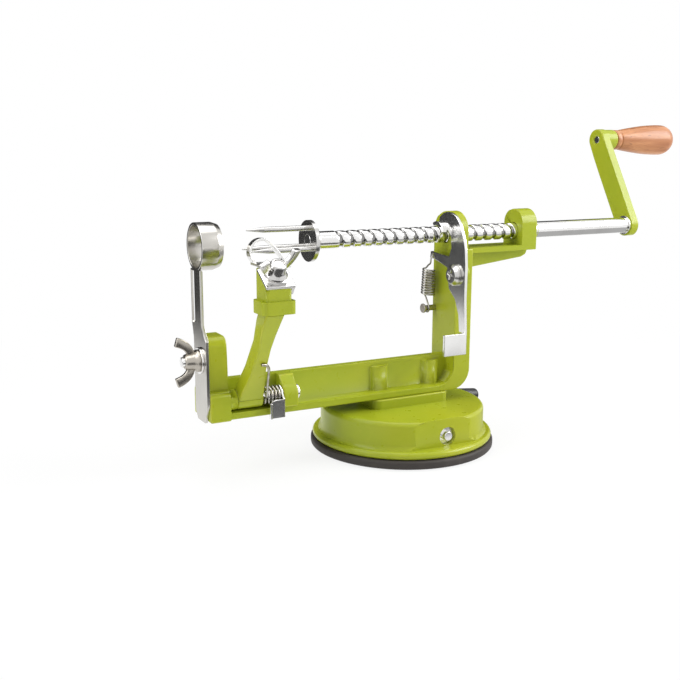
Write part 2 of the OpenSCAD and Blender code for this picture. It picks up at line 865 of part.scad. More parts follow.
// feed screw with its thread, plain end and spigots
module feed_screw() {
    color(steel)
        at_screw() {
            polyhedron(thread_points, thread_faces);
            rod_x(fork_back, -thread_front + pitch + 1.5, plain_d);
            rod_x(fork_front, fork_back + eps, spigot_d);
            rod_x(thread_back - 2 * pitch, crank_x, plain_d);
            rod_x(crank_x - eps, crank_x + crank_t + eps, spigot_d);
            rod_x(crank_x + crank_t, crank_x + crank_t + 1.6, spigot_d + 3);
        }
}

// fork that carries the fruit
module fruit_fork() {
    color(steel)
        at_screw() {
            difference() {
                union() {
                    rod_x(fork_front, fork_front + fork_t / 2 + eps, fork_d);
                    translate([fork_front + fork_t / 2, 0, 0])
                        rotate([0, 90, 0])
                            cylinder(d1 = fork_d, d2 = fork_d - 6, h = fork_t / 2);
                }
                rod_x(fork_front - cut, fork_back + cut, spigot_d);
            }
            for (a = [90, 210, 330])
                rotate([a, 0, 0])
                    translate([fork_front + eps, prong_ring, 0])
                        rotate([0, -90, 0]) {
                            cylinder(d = prong_d, h = prong_l - prong_tip);
                            translate([0, 0, prong_l - prong_tip - eps])
                                cylinder(d1 = prong_d, d2 = 0.5, h = prong_tip);
                        }
        }
}

// loose washer that meets the rear bearing at the end of the feed
module stop_washer() {
    color(steel)
        at_screw()
            difference() {
                rod_x(crank_x - 0.1 - stop_t, crank_x - 0.1, stop_d);
                rod_x(crank_x - stop_t - cut, crank_x + cut, plain_d + 2 * fit_gap);
            }
}

// flat crank arm with a boss that the handle bears on
module crank_arm() {
    color(lime)
        at_screw()
            rotate([-crank_lean, 0, 0])
                difference() {
                    union() {
                        along_x(crank_x, crank_x + crank_t) {
                            circle(d = crank_w);
                            translate([-crank_w / 2, 0])
                                square([crank_w, crank_r]);
                            translate([0, crank_r])
                                circle(d = crank_w);
                        }
                        translate([0, 0, crank_r])
                            rod_x(crank_x + crank_t - eps, crank_x + crank_t + shoulder_l,
                                crank_w - 0.6);
                    }
                    rod_x(crank_x - cut, crank_x + crank_t + cut, spigot_d);
                    translate([0, 0, crank_r])
                        rod_x(crank_x - cut, crank_x + crank_t + shoulder_l + cut, handle_pin_d);
                }
}

// place a piece on the handle's axis
module at_handle() {
    at_screw()
        translate(crank_r * crank_dir)
            children();
}

// pin driven into the arm, with a head sunk in the handle's end
module handle_pin() {
    color(steel)
        at_handle() {
            rod_x(crank_x + 0.7, handle_x1 - 2 + eps, handle_pin_d);
            rod_x(handle_x1 - 2, handle_x1 - 0.5, pin_head_d);
        }
}

// turned wooden handle
module crank_handle() {
    n = handle_neck / 2;
    w = handle_d / 2;
    color(wood)
        at_handle()
            rotate([0, 90, 0])
                translate([0, 0, handle_x0])
                    rotate_extrude()
                        difference() {
                            union() {
                                polygon([
                                    [0, 0],
                                    [n - 0.8, 0],
                                    [n, 0.8],
                                    [n, 4],
                                    [n + 0.28 * (w - n), handle_l * 0.2],
                                    [n + 0.62 * (w - n), handle_l * 0.38],
                                    [n + 0.88 * (w - n), handle_l * 0.55],
                                    [w, handle_l * 0.72],
                                    [w, handle_l - w],
                                    [0, handle_l - w]]);
                                intersection() {
                                    translate([0, handle_l - w])
                                        circle(w);
                                    translate([0, handle_l - w - eps])
                                        square([w, w - 0.4]);
                                }
                            }
                            translate([-cut, -cut])
                                square([handle_pin_d / 2 + 0.1 + cut, handle_l + 2 * cut]);
                            translate([-cut, handle_l - 2.3])
                                square([pin_head_d / 2 + 0.3 + cut, 4]);
                        }
}

// plate of the release lever, drawn in Y-Z about the pivot
module lever_outline() {
    top = screw_z - pivot_z;
    foot = -thumb_down;
    hang_y = hole_y - pivot_y;
    hang_z = hole_z - pivot_z;
    o = pivot_out;
    circle(8);
    polygon([
        [-9, -8],
        [-9.2, 6],
        [-8.4, top - 6],
        [-6.8, top - 0.5],
        [-3.6, top + 6],
        [-1.4, top + 8.8],
        [1.4, top + 11],
        [o - 10, top + 12.3],
        [o - 6, top + 12.5],
        [o - 2.5, top + 11.6],
        [o + 0.7, top + 9.4],
        [o + 1.3, top + 7.6],
        [o + 1, top + 4],
        [o - 4, top + 1],
        [o - 7, top + 3],
        [o - 10.2, top],
        [o - 11, top - 6.4],
        [o - 9, top - 11],
        [hang_y - 4, hang_z + 1.8],
        [hang_y + 2.4, hang_z + 2.2],
        [hang_y + 3, hang_z - 1.6],
        [hang_y - 3, hang_z - 2],
        [8, 3],
        [6, -8],
        [0, -13],
        [-3.8, -21],
        [-4.8, foot],
        [-10, foot],
        [-9, -12]]);
}

// release lever: hook, saddle and follower pin over the screw, thumb tab below
module release_lever() {
    tab_y1 = pivot_y - 8.4;
    tab_top = pivot_z - thumb_down;
    color(steel)
        difference() {
            union() {
                along_x(plate_x0, plate_x1)
                    translate([pivot_y, pivot_z])
                        lever_outline();
                at_screw()
                    difference() {
                        rod_x(saddle_x0, plate_x1, 2 * saddle_out);
                        rod_x(saddle_x0 - cut, plate_x1 + cut, 2 * saddle_in);
                        along_x(saddle_x0 - cut, plate_x1 + cut)
                            polygon(3 * saddle_out * [
                                [0, 0],
                                [cos(58), sin(58)],
                                [1, 0],
                                [1, -1],
                                [-1, -1],
                                [-cos(15), sin(15)]]);
                    }
                translate([follower_x, 0, screw_z + screw_d / 2 - groove_depth + 0.15])
                    cylinder(d = follower_d, h = saddle_in + 0.5 - screw_d / 2 + groove_depth);
                along_x(plate_x0, plate_x1)
                    translate([pivot_y - 10, tab_top - thumb_h])
                        square([plate_t, thumb_h + 1]);
                translate([plate_x1 - thumb_l, pivot_y - 10, tab_top - thumb_h])
                    cube([thumb_l, plate_t, thumb_h]);
            }
            at_screw()
                rod_x(plate_x0 - cut, plate_x1 + cut, 2 * saddle_in);
            translate([0, pivot_y, pivot_z])
                rod_x(plate_x0 - cut, plate_x1 + cut, pivot_d + 2 * fit_gap);
            translate([0, hole_y, hole_z])
                rod_x(plate_x0 - cut, plate_x1 + cut, pull_wire + 1.4);
        }
}

// pan-head screw that the release lever turns on
module pivot_screw() {
    head_h = 3;
    color(steel)
        translate([0, pivot_y, pivot_z])
            difference() {
                union() {
                    rod_x(plate_x0 - 0.1, pivot_back + 0.8, pivot_d);
                    rod_x(plate_x0 - 0.1 - head_h / 2, plate_x0 - 0.1, pivot_head_d);
                    translate([plate_x0 - 0.1 - head_h, 0, 0])
                        rotate([0, 90, 0])
                            cylinder(d1 = pivot_head_d - 3, d2 = pivot_head_d,
                                h = head_h / 2 + eps);
                }
                for (a = [0, 90])
                    rotate([a + 20, 0, 0])
                        translate([plate_x0 - 0.1 - head_h - cut, -0.6, -2.6])
                            cube([cut + 1.2, 1.2, 5.2]);
            }
}

// stud that anchors the pull spring
module spring_stud() {
    x0 = plate_x0 - 3.6;
    color(steel)
        translate([0, stud_y, stud_z]) {
            rod_x(x0, upright_x + 3, stud_d);
            rod_x(x0 - 1, x0 + eps, stud_d + 2);
        }
}

// centre line of the pull spring: lower hook, coils, upper hook
pull_x = plate_x0 - 1.6;
pull_low = [pull_x, stud_y, stud_z];
pull_high = [pull_x, hole_y, hole_z];
pull_u = unit(pull_high - pull_low);
pull_v = cross(pull_u, [1, 0, 0]);
pull_mid = (pull_low + pull_high) / 2;
pull_body = pull_turns * pull_pitch;
pull_loop = stud_d / 2 + pull_wire / 2 + 0.15;
pull_hook = plate_t / 2 + pull_wire / 2 + 0.65;
pull_base = pull_mid - pull_u * pull_body / 2;
function pull_coil_at(i) = pull_base + pull_u * pull_pitch * i / 8
    + pull_coil / 2 * (cos(45 * i) * pull_v + sin(45 * i) * [1, 0, 0]);
pull_path = concat(
    [for (a = [160:-32:-32]) pull_low + pull_loop * (-sin(a) * pull_u + cos(a) * -pull_v)],
    [pull_base - pull_u * 2.4 + pull_v * 1.2],
    [for (i = [0:8 * pull_turns]) pull_coil_at(i)],
    [pull_base + pull_u * (pull_body + 2.2) + pull_v * 1.2],
    [pull_high - pull_u * (pull_hook + 2.4)
        + [plate_x0 + plate_t / 2 - pull_hook - pull_x, 0, 0] * 0.6],
    [for (a = [180:-36:0]) pull_high - pull_u * pull_hook
        + [plate_x0 + plate_t / 2 - pull_x + pull_hook * cos(a), 0, 0]
        + pull_u * pull_hook * sin(a)],
    [pull_high - pull_u * (pull_hook + 1.2)
        + [plate_x0 + plate_t / 2 - pull_x + pull_hook, 0, 0]]);
echo(pull_spring_gap = self_gap(pull_path, pull_wire, 6));

module pull_spring() {
    color(steel)
        wire(pull_path, pull_wire, [1, 0, 0]);
}

// slicer: slotted plate, slicing edge and coring ring
module slicer_blade() {
    foot_z = bar_z - 0.5;
    ring_z = screw_z - corer_d / 2 - corer_wall / 2;
    shoulder = bar_z + post_h + 3;
    y0 = clamp_y - slicer_w / 2;
    color(steel)
        difference() {
            union() {
                along_x(slicer_x0, slicer_x1)
                    polygon([
                        [y0 + 4, foot_z],
                        [y0 + slicer_w - 3, foot_z],
                        [y0 + slicer_w, foot_z + 4],
                        [y0 + slicer_w, shoulder - 4],
                        [blade_w / 2, shoulder + 3],
                        [blade_w / 2, ring_z],
                        [-blade_w / 2, ring_z],
                        [-blade_w / 2, shoulder + 3],
                        [y0, shoulder - 4],
                        [y0, foot_z + 10]]);
                at_screw()
                    translate([slicer_x0, 0, 0])
                        rotate([0, 90, 0])
                            rotate_extrude()
                                polygon([
                                    [corer_d / 2, 0],
                                    [corer_d / 2 + corer_wall, 0],
                                    [corer_d / 2 + corer_wall, corer_l - 3],
                                    [corer_d / 2 + 0.2, corer_l],
                                    [corer_d / 2, corer_l]]);
            }
            along_x(slicer_x0 - cut, slicer_x1 + cut)
                round_box([clamp_y - clamp_d / 2 - 0.3, clamp_h - clamp_d / 2 - 0.3 - slot_play],
                    [clamp_y + clamp_d / 2 + 0.3, clamp_h + clamp_d / 2 + 0.3 + slot_play],
                    clamp_d / 2 + 0.25);
            translate([slicer_x1 - 0.35, blade_w / 2, shoulder + 3.2])
                rotate([0, 0, -70])
                    translate([0, -5, 0])
                        cube([4, 10, ring_z - shoulder - 4]);
            at_screw()
                rod_x(slicer_x0 - cut, slicer_x1 + cut, corer_d);
        }
}

// stud, washer and wing nut that clamp the slicer to the post
module slicer_stud() {
    color(steel)
        translate([0, clamp_y, clamp_h])
            rod_x(washer_x0 - nut_h - 1.5, -post_x - 2, clamp_d);
}

module slicer_washer() {
    color(steel)
        translate([0, clamp_y, clamp_h])
            difference() {
                rod_x(washer_x0, slicer_x0, washer_d);
                rod_x(washer_x0 - cut, slicer_x0 + cut, clamp_d + 2 * fit_gap);
            }
}

// wing nut standing on its seat at the origin, wings along X
module wing_nut(reach) {
    hub_d = nut_d - 3;
    difference() {
        union() {
            cylinder(d = nut_d, h = 1.2 + eps);
            translate([0, 0, 1.2])
                cylinder(d1 = nut_d, d2 = hub_d, h = 1.6 + eps);
            translate([0, 0, 2.8])
                cylinder(d = hub_d, h = nut_h - 2.8);
            for (side = [0, 1])
                mirror([side, 0, 0])
                    along_y(-nut_wing_t / 2, nut_wing_t / 2)
                        polygon([
                            [clamp_d / 2 + 0.5, 1.4],
                            [hub_d / 2 + 0.6, 2],
                            [reach, nut_tip - 2.6],
                            [reach - 2.4, nut_tip],
                            [hub_d / 2 - 0.4, nut_h - 0.8],
                            [clamp_d / 2 + 0.5, nut_h - 0.8]]);
        }
        translate([0, 0, -cut])
            cylinder(d = clamp_d + 2 * fit_gap, h = nut_tip + 2 * cut);
    }
}

module slicer_nut() {
    color(steel)
        translate([washer_x0, clamp_y, clamp_h])
            rotate([0, -90, 0])
                wing_nut(nut_wing);
}

// cast peeling arm: barrel, waisted arm and square head
module peeling_arm() {
    x0 = barrel_front;
    x1 = -barrel_x;
    waist = head_x0 + 3.5;
    color(lime)
        difference() {
            union() {
                at_hinge() {
                    rod_x(x0, x1, barrel_d);
                    rotate([arm_lean, 0, 0]) {
                        along_y(-arm_t / 2, arm_t / 2)
                            polygon([
                                [x0 + 0.4, 0],
                                [x1 - 0.4, 0],
                                [x1 - 0.4, 6.5],
                                [waist + arm_w + 0.8, arm_waist - 14],
                                [waist + arm_w, arm_waist],
                                [waist + arm_w + 0.4, arm_len - 8],
                                [waist + arm_w + 1.2, arm_len + 2],
                                [waist - 1.4, arm_len + 2],
                                [waist - 1.4, arm_len - 8],
                                [waist, arm_waist],
                                [waist - 0.4, arm_waist - 18],
                                [x0 + 0.4, 8]]);
                    }
                }
                arm_head();
            }
            at_hinge()
                rod_x(x0 - cut, x1 + cut, hinge_d + 2 * hinge_gap);
            at_seat()
                translate([stud_x, arm_head_w / 2, -stud_in_head])
                    cylinder(d = clamp_d, h = stud_in_head + cut);
        }
}

// head of the arm: ledge, and a block with a leaning top
module arm_head() {
    back = head_y + arm_head_w / 2;
    translate([0, 0, head_z])
        linear_extrude(ledge_h)
            round_box([head_x0, head_y - arm_head_w / 2], [head_x1, back], 2.5);
    difference() {
        translate([0, 0, head_z])
            linear_extrude(arm_head_h + arm_head_w * tan(head_lean))
                round_box([block_x0, block_front], [block_x1, back], 1.6);
        at_seat()
            translate([head_x0 - cut, -arm_head_w, 0])
                cube([arm_head_l + 2 * cut, 3 * arm_head_w, 2 * arm_head_w]);
    }
}

// pin that the arm turns on, with a head behind the lug
module arm_pin() {
    color(steel)
        at_hinge() {
            rod_x(post_front + 1.5, lug_front + lug_l + eps, hinge_d);
            rod_x(lug_front + lug_l, lug_front + lug_l + 1.6, hinge_d + 3.4);
        }
}

// centre line of the arm spring: short leg, coils, long leg with a hooked end
twist_r = twist_coil / 2;
twist_x0 = lug_front - catch_t - coil_gap - twist_wire / 2;
function twist_at(i) = [twist_x0 - twist_pitch * i / 8,
    hinge_y - twist_r * cos(45 * i), hinge_h + twist_r * sin(45 * i)];
twist_end = twist_x0 - twist_pitch * (twist_turns + arm_lean / 360);
twist_up = [0, -sin(arm_lean), cos(arm_lean)];
twist_out = [0, -cos(arm_lean), -sin(arm_lean)];
twist_face = arm_t / 2 + twist_wire / 2 + seat_gap;
twist_edge = head_x0 + 3.5 + arm_w;
function twist_leg(x, out, up) = [x, hinge_y, hinge_h] + twist_out * out + twist_up * up;
twist_path = concat(
    [[twist_x0, hinge_y - twist_r, bar_z + 0.6], [twist_x0, hinge_y - twist_r, hinge_h - 4]],
    [for (i = [0:8 * twist_turns]) twist_at(i)],
    [twist_leg(twist_end, (twist_r + twist_face) / 2, 5)],
    [twist_leg(twist_end * 0.6 + twist_edge * 0.4, twist_face, 15)],
    [twist_leg(twist_end * 0.2 + twist_edge * 0.8 + 0.6, twist_face, twist_reach - 5)],
    [twist_leg(twist_edge + 0.6, twist_face, twist_reach - 2)],
    [twist_leg(twist_edge - 1, twist_face, twist_reach - 0.4)],
    [twist_leg(twist_edge - 3.4, twist_face, twist_reach)]);
echo(arm_spring_gap = self_gap(twist_path, twist_wire, 6));

module arm_spring() {
    color(steel)
        wire(twist_path, twist_wire, [1, 0, 0]);
}

// bent steel catch on the arm's pin, with a thumb tab in front of the bar
module arm_catch() {
    x1 = lug_front - 0.2;
    x0 = x1 - catch_t;
    y0 = hinge_y - 7;
    color(steel)
        difference() {
            union() {
                along_x(x0, x1) {
                    translate([hinge_y, hinge_h])
                        circle(d = barrel_d);
                    polygon([
                        [y0, bar_z - 1],
                        [y0 + catch_t, bar_z - 1],
                        [y0 + catch_t + 0.6, flange_top + 0.8],
                        [hinge_y - 1, flange_top + 1.3],
                        [hinge_y - 1, hinge_h + 4.6],
                        [y0, hinge_h - 1]]);
                }
                along_y(y0, y0 + catch_t) {
                    translate([x1 - 4.2, hinge_h - 5.4])
                        circle(4.2);
                    translate([x1 - 8.4, bar_z - 1])
                        square([8.4, hinge_h - 5.4 - bar_z + 1]);
                    translate([x1 - 4.2, bar_z - 1])
                        square([4.2, hinge_h - 1.2 - bar_z + 1]);
                }
                translate([x1 - 8.4, y0 - 1.4, bar_z - 1])
                    cube([catch_t, 1.4 + catch_t, 8]);
            }
            at_hinge()
                rod_x(x0 - cut, x1 + cut, hinge_d + 2 * fit_gap);
        }
}

// clip plate between head and blade, bent down at the back
module blade_clip() {
    color(steel)
        at_seat()
            difference() {
                union() {
                    linear_extrude(clip_t)
                        round_box([block_x0 - 0.2, 0.2],
                            [block_x1 + seat_gap + clip_t, arm_head_w - 0.6], 0.6);
                    translate([block_x1 + seat_gap, 0.8, -4.4])
                        cube([clip_t, 8, 4.4 + clip_t]);
                }
                translate([stud_x, arm_head_w / 2, -cut])
                    cylinder(d = clamp_d + 2 * fit_gap, h = clip_t + 2 * cut);
            }
}

// peeling blade: foot under the nut, shank bent level past the clip, and tilted hoop
module peeler_blade() {
    bend = arm_head_w;
    under = clip_t + eps;
    shank = seat_pt(bend, under);
    y1 = hoop_y0 + hoop_w;
    cx = stud_x - 1;
    cz = shank[1] + peel_t + hoop_up;
    leg = 9;
    mid_r = hoop_r - peel_t / 2;
    ex = cx + mid_r * cos(hoop_lean) + leg * sin(hoop_lean);
    ez = cz + mid_r * sin(hoop_lean) - leg * cos(hoop_lean);
    color(steel) {
        at_seat()
            translate([stud_x, arm_head_w / 2, clip_t])
                difference() {
                    linear_extrude(peel_t) {
                        round_box([-peel_foot / 2, -peel_foot / 2], [peel_foot / 2, peel_foot / 2], 2.5);
                        translate([-peel_foot / 2, 0])
                            square([peel_foot, arm_head_w / 2 - 1]);
                    }
                    translate([0, 0, -cut])
                        cylinder(d = clamp_d + 2 * fit_gap, h = peel_t + 2 * cut);
                }
        along_x(stud_x - peel_foot / 2, ex + peel_t / 2)
            polygon([
                seat_pt(bend - 1.4, under),
                shank,
                [y1, shank[1]],
                [y1, shank[1] + peel_t],
                seat_pt(bend + peel_t * tan(head_lean / 2), under + peel_t),
                seat_pt(bend - 1.4, under + peel_t)]);
        along_y(hoop_y0, y1) {
            intersection() {
                translate([cx, cz])
                    rotate(hoop_lean)
                        hoop_outline(leg);
                translate([cx - 2 * leg, shank[1] + peel_t / 2])
                    square(4 * leg);
            }
            translate([ex - peel_t / 2, shank[1] + peel_t / 2])
                square([peel_t, ez - shank[1] - peel_t / 2]);
            translate([ex, ez])
                circle(peel_t / 2);
        }
    }
}

// round hoop with two straight legs, drawn about its middle
module hoop_outline(leg) {
    inner = hoop_r - peel_t;
    difference() {
        union() {
            circle(hoop_r);
            translate([-hoop_r, -leg])
                square([2 * hoop_r, leg]);
        }
        circle(inner);
        translate([-inner, -leg - cut])
            square([2 * inner, leg + cut]);
    }
}

module blade_stud() {
    color(steel)
        at_seat()
            translate([stud_x, arm_head_w / 2, -stud_in_head])
                cylinder(d = clamp_d, h = stud_in_head + clip_t + peel_t + nut_h - 0.4);
}

module blade_nut() {
    color(steel)
        at_seat()
            translate([stud_x, arm_head_w / 2, clip_t + peel_t])
                rotate(20)
                    wing_nut(nut_wing_small);
}

frame_casting();
base_housing();
base_screws();
suction_pad();
suction_stem();
suction_lever();
lever_grip();
lever_ring();
feed_screw();
fruit_fork();
stop_washer();
crank_arm();
handle_pin();
crank_handle();
release_lever();
pivot_screw();
pull_spring();
spring_stud();
slicer_blade();
slicer_stud();
slicer_washer();
slicer_nut();
peeling_arm();
arm_pin();
arm_spring();
arm_catch();
blade_clip();
peeler_blade();
blade_stud();
blade_nut();
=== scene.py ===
"""Looks of a table-top apple peeler: lime castings, plated screw, springs, rubber pad and turned handle.

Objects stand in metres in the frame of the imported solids: +X runs along the feed screw to the crank, +Y
away from the user and +Z up, with the origin under the middle of the suction pad. Sizes of pieces are in
millimetres.
"""

from __future__ import annotations

import json
import logging
import math
from collections.abc import Callable, Iterable, Mapping, Sequence
from dataclasses import dataclass, field
from enum import Enum
from functools import cached_property
from typing import Any

import bmesh
import bpy
from bmesh.types import BMEdge, BMesh, BMFace, BMLoop, BMVert
from bpy.types import Material, Mesh, NodeSocket, Object, World
from mathutils import Euler, Matrix, Vector
from mathutils.bvhtree import BVHTree
from mathutils.kdtree import KDTree
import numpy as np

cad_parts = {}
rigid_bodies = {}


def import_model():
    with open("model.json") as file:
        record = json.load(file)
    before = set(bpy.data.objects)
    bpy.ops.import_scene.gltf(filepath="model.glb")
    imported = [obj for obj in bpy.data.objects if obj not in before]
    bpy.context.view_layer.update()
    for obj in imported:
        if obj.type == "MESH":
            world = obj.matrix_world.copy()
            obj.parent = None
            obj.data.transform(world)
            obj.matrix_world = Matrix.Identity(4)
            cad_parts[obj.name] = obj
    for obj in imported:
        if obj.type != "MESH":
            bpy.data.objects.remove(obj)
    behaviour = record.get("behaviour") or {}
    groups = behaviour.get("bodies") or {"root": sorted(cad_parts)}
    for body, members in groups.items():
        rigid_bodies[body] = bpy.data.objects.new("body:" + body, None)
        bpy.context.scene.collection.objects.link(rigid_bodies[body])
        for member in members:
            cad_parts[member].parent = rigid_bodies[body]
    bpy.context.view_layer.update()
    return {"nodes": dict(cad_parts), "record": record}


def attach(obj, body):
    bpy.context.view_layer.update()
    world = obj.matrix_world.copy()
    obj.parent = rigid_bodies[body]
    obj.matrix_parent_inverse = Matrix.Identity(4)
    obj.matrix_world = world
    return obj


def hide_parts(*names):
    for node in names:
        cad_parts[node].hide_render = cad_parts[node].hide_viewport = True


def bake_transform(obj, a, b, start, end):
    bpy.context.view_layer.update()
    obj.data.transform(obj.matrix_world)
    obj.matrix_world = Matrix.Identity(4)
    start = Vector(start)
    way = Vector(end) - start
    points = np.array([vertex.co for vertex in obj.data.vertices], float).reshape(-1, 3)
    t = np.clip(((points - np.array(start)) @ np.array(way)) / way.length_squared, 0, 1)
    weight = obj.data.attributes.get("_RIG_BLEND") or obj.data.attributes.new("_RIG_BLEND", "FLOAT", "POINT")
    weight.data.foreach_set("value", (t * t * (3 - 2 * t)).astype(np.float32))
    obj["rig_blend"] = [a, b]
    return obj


LOG = logging.getLogger("apple_peeler")
MM = 0.001
Pair = tuple[float, float]
Triple = tuple[float, float, float]
Profile = list[Sequence[float]]


class Slot(Enum):
    """Material slots of the record."""

    LIME = "lime_paint"
    BRIGHT = "bright_steel"
    PLATE = "plate_steel"
    WIRE = "spring_wire"
    RUBBER = "rubber"
    GRIP = "grip_plastic"
    WOOD = "handle_wood"


class Body(Enum):
    """Bodies that the pieces move with."""

    FRAME = "frame"
    FEED = "feed"
    CRANK = "crank"
    HANDLE = "handle"
    RELEASE = "release"
    ARM = "arm"
    ARM_NUT = "arm_nut"
    CATCH = "catch"
    SLICER = "slicer"
    POST_NUT = "post_nut"
    SUCTION = "suction"


class Lay(Enum):
    """Way that the fine lines of a metal run."""

    ROUND_X = (1.0, 0.0, 0.0)
    ROUND_Y = (0.0, 1.0, 0.0)
    ALONG_Z = (0.06, 1.0, 0.03)
    ALONG_Y = (1.0, 0.03, 0.06)


@dataclass(eq=False)
class Signal:
    """An output of a shader node that can be used in sums, or None for a node without outputs."""

    bench: NodeBench
    socket: NodeSocket | None

    def _sum(self, operation: str, first: Signal | float, second: Signal | float) -> Signal:
        """Result of one Math node on two values."""
        return self.bench.add("ShaderNodeMath", {"operation": operation}, {0: first, 1: second})

    def __add__(self, other: Signal | float) -> Signal:
        """Sum of both."""
        return self._sum("ADD", self, other)

    def __radd__(self, other: float) -> Signal:
        """Sum of both, number first."""
        return self._sum("ADD", other, self)

    def __sub__(self, other: Signal | float) -> Signal:
        """Difference of both."""
        return self._sum("SUBTRACT", self, other)

    def __mul__(self, other: Signal | float) -> Signal:
        """Product of both."""
        return self._sum("MULTIPLY", self, other)

    def ramp(self, low: float, high: float) -> Signal:
        """Smooth rise from 0 at the low value to 1 at the high one."""
        return self.bench.add(
            "ShaderNodeMapRange", {"interpolation_type": "SMOOTHSTEP"},
            {"Value": self, "From Min": low, "From Max": high})


class NodeBench:
    """The nodes of a material or world, and the one place where they are added."""

    def __init__(self, owner: Material | World) -> None:
        """Start with no nodes.

        Args:
            owner: Material or world that the nodes belong to.
        """
        owner.use_nodes = True
        self.owner = owner
        self.tree = owner.node_tree
        self.tree.nodes.clear()

    @classmethod
    def named(cls, name: str) -> NodeBench:
        """Bench of a new material."""
        return cls(bpy.data.materials.new(name))

    @cached_property
    def place(self) -> Signal:
        """Place on the piece, in the piece's own space."""
        return self.add("ShaderNodeTexCoord", take="Object")

    def add(
        self,
        kind: str,
        settings: Mapping[str, Any] | None = None,
        sockets: Mapping[int | str, Any] | None = None,
        take: int | str = 0,
    ) -> Signal:
        """Add a node, set it, then fill its sockets.

        Args:
            kind: Blender's name of the node type.
            settings: Values of the node itself, set first.
            sockets: Values or signals by socket name or number.
            take: Output socket to give back.

        Returns:
            The chosen output.
        """
        node = self.tree.nodes.new(kind)
        for key, value in (settings or {}).items():
            setattr(node, key, value)
        for key, value in (sockets or {}).items():
            if isinstance(value, Signal):
                self.tree.links.new(value.socket, node.inputs[key])
            elif isinstance(value, tuple) and len(value) == 3 and node.inputs[key].type == "RGBA":
                node.inputs[key].default_value = (*value, 1.0)
            else:
                node.inputs[key].default_value = value
        return Signal(self, node.outputs[take] if len(node.outputs) else None)

    def noise(self, scale: float, detail: float, stretch: Triple | None = None) -> Signal:
        """Noise in the piece's own space, from 0 to 1.

        Args:
            scale: Size of the pattern, in cycles a metre.
            detail: Octaves of the noise.
            stretch: Factors by axis, or None for an even pattern.

        Returns:
            The noise's value.
        """
        where = self.place
        if stretch is not None:
            where = self.add("ShaderNodeMapping", None, {"Vector": where, "Scale": stretch})
        return self.add("ShaderNodeTexNoise", None, {"Vector": where, "Scale": scale, "Detail": detail})

    def mark(self, name: str) -> Signal:
        """Attribute that a piece's mesh carries, 0 where it has none."""
        return self.add("ShaderNodeAttribute", {"attribute_name": name}, take="Fac")

    def mix(self, share: Signal, first: Signal | Triple, second: Signal | Triple) -> Signal:
        """Colour between the first, at a share of 0, and the second, at 1."""
        return self.add("ShaderNodeMix", {"data_type": "RGBA"}, {0: share, 6: first, 7: second}, take=2)

    def bump(self, height: Signal, depth: float, strength: float) -> Signal:
        """Normal bent by a height from 0 to 1, over a depth in millimetres."""
        sockets = {"Strength": strength, "Distance": depth * MM, "Height": height}
        return self.add("ShaderNodeBump", None, sockets)

    def shade(self, **sockets: Any) -> Material:
        """Close the material with its surface shader.

        Args:
            **sockets: Shader sockets by name, with _ for a space.

        Returns:
            The finished material.
        """
        named = {key.replace("_", " "): value for key, value in sockets.items()}
        surface = self.add("ShaderNodeBsdfPrincipled", None, named)
        self.add("ShaderNodeOutputMaterial", None, {"Surface": surface})
        return self.owner


@dataclass(frozen=True)
class LimeEnamel:
    """Glossy sprayed enamel over a casting."""

    name: str = "lime_enamel"
    slot: Slot = Slot.LIME
    base: Triple = (0.430, 0.468, 0.018)
    deep: Triple = (0.365, 0.432, 0.019)
    # Pale tone where the casting skin shows, and the painted highlight along the rounded outer edges.
    pale_tone_and_edge_highlight: Triple = (0.550, 0.550, 0.050)
    # Painted shade in the concave corners.
    corner_shade: Triple = (0.240, 0.300, 0.014)
    gloss: float = 0.30

    def make(self) -> Material:
        """Drift of hue, painted highlight on edges, painted shade in corners, casting skin and orange peel."""
        bench = NodeBench.named(self.name)
        drift = bench.noise(16.0, 3.0).ramp(0.35, 0.68)
        skin = bench.noise(240.0, 4.0)
        peel = bench.noise(1100.0, 1.0)
        colour = bench.mix(drift, self.deep, self.base)
        colour = bench.mix(skin.ramp(0.52, 0.75) * 0.12, colour, self.pale_tone_and_edge_highlight)
        # Painted shade: darker enamel in the concave corners.
        colour = bench.mix(bench.mark("corner") * 0.55, colour, self.corner_shade)
        return bench.shade(
            # Painted highlight: paler enamel along the rounded outer edges.
            Base_Color=bench.mix(bench.mark("edge") * 0.45, colour, self.pale_tone_and_edge_highlight),
            Roughness=self.gloss + (skin - 0.5) * 0.16,
            Coat_Weight=0.10 + drift * 0.08,
            Coat_Roughness=0.09,
            Specular_IOR_Level=0.32,
            Normal=bench.bump(skin * 0.7 + peel * 0.3, 0.05, 0.5),
        )


@dataclass(frozen=True)
class PlatedSteel:
    """Bright plated steel with fine lines of turning or rolling."""

    name: str
    lay: Lay
    base: Triple = (0.90, 0.895, 0.885)
    dull: Triple = (0.74, 0.73, 0.715)
    gloss: float = 0.10
    lines: float = 2600.0
    relief: float = 0.006
    slot: Slot = Slot.BRIGHT

    def make(self) -> Material:
        """Fine lines, faint clouding and painted shade in the corners and thread roots."""
        bench = NodeBench.named(self.name)
        lines = bench.noise(self.lines, 2.0, self.lay.value)
        cloud = bench.noise(90.0, 3.0)
        colour = bench.mix(cloud.ramp(0.40, 0.75) * 0.5, self.base, self.dull)
        return bench.shade(
            # Painted shade: much darker plating in corners and thread roots.
            Base_Color=bench.mix(bench.mark("corner") * 0.8, colour, tuple(0.22 * c for c in self.dull)),
            Metallic=1.0,
            Roughness=self.gloss + cloud * 0.07 + (lines - 0.5) * 0.08,
            Normal=bench.bump(lines, self.relief, 0.5),
        )


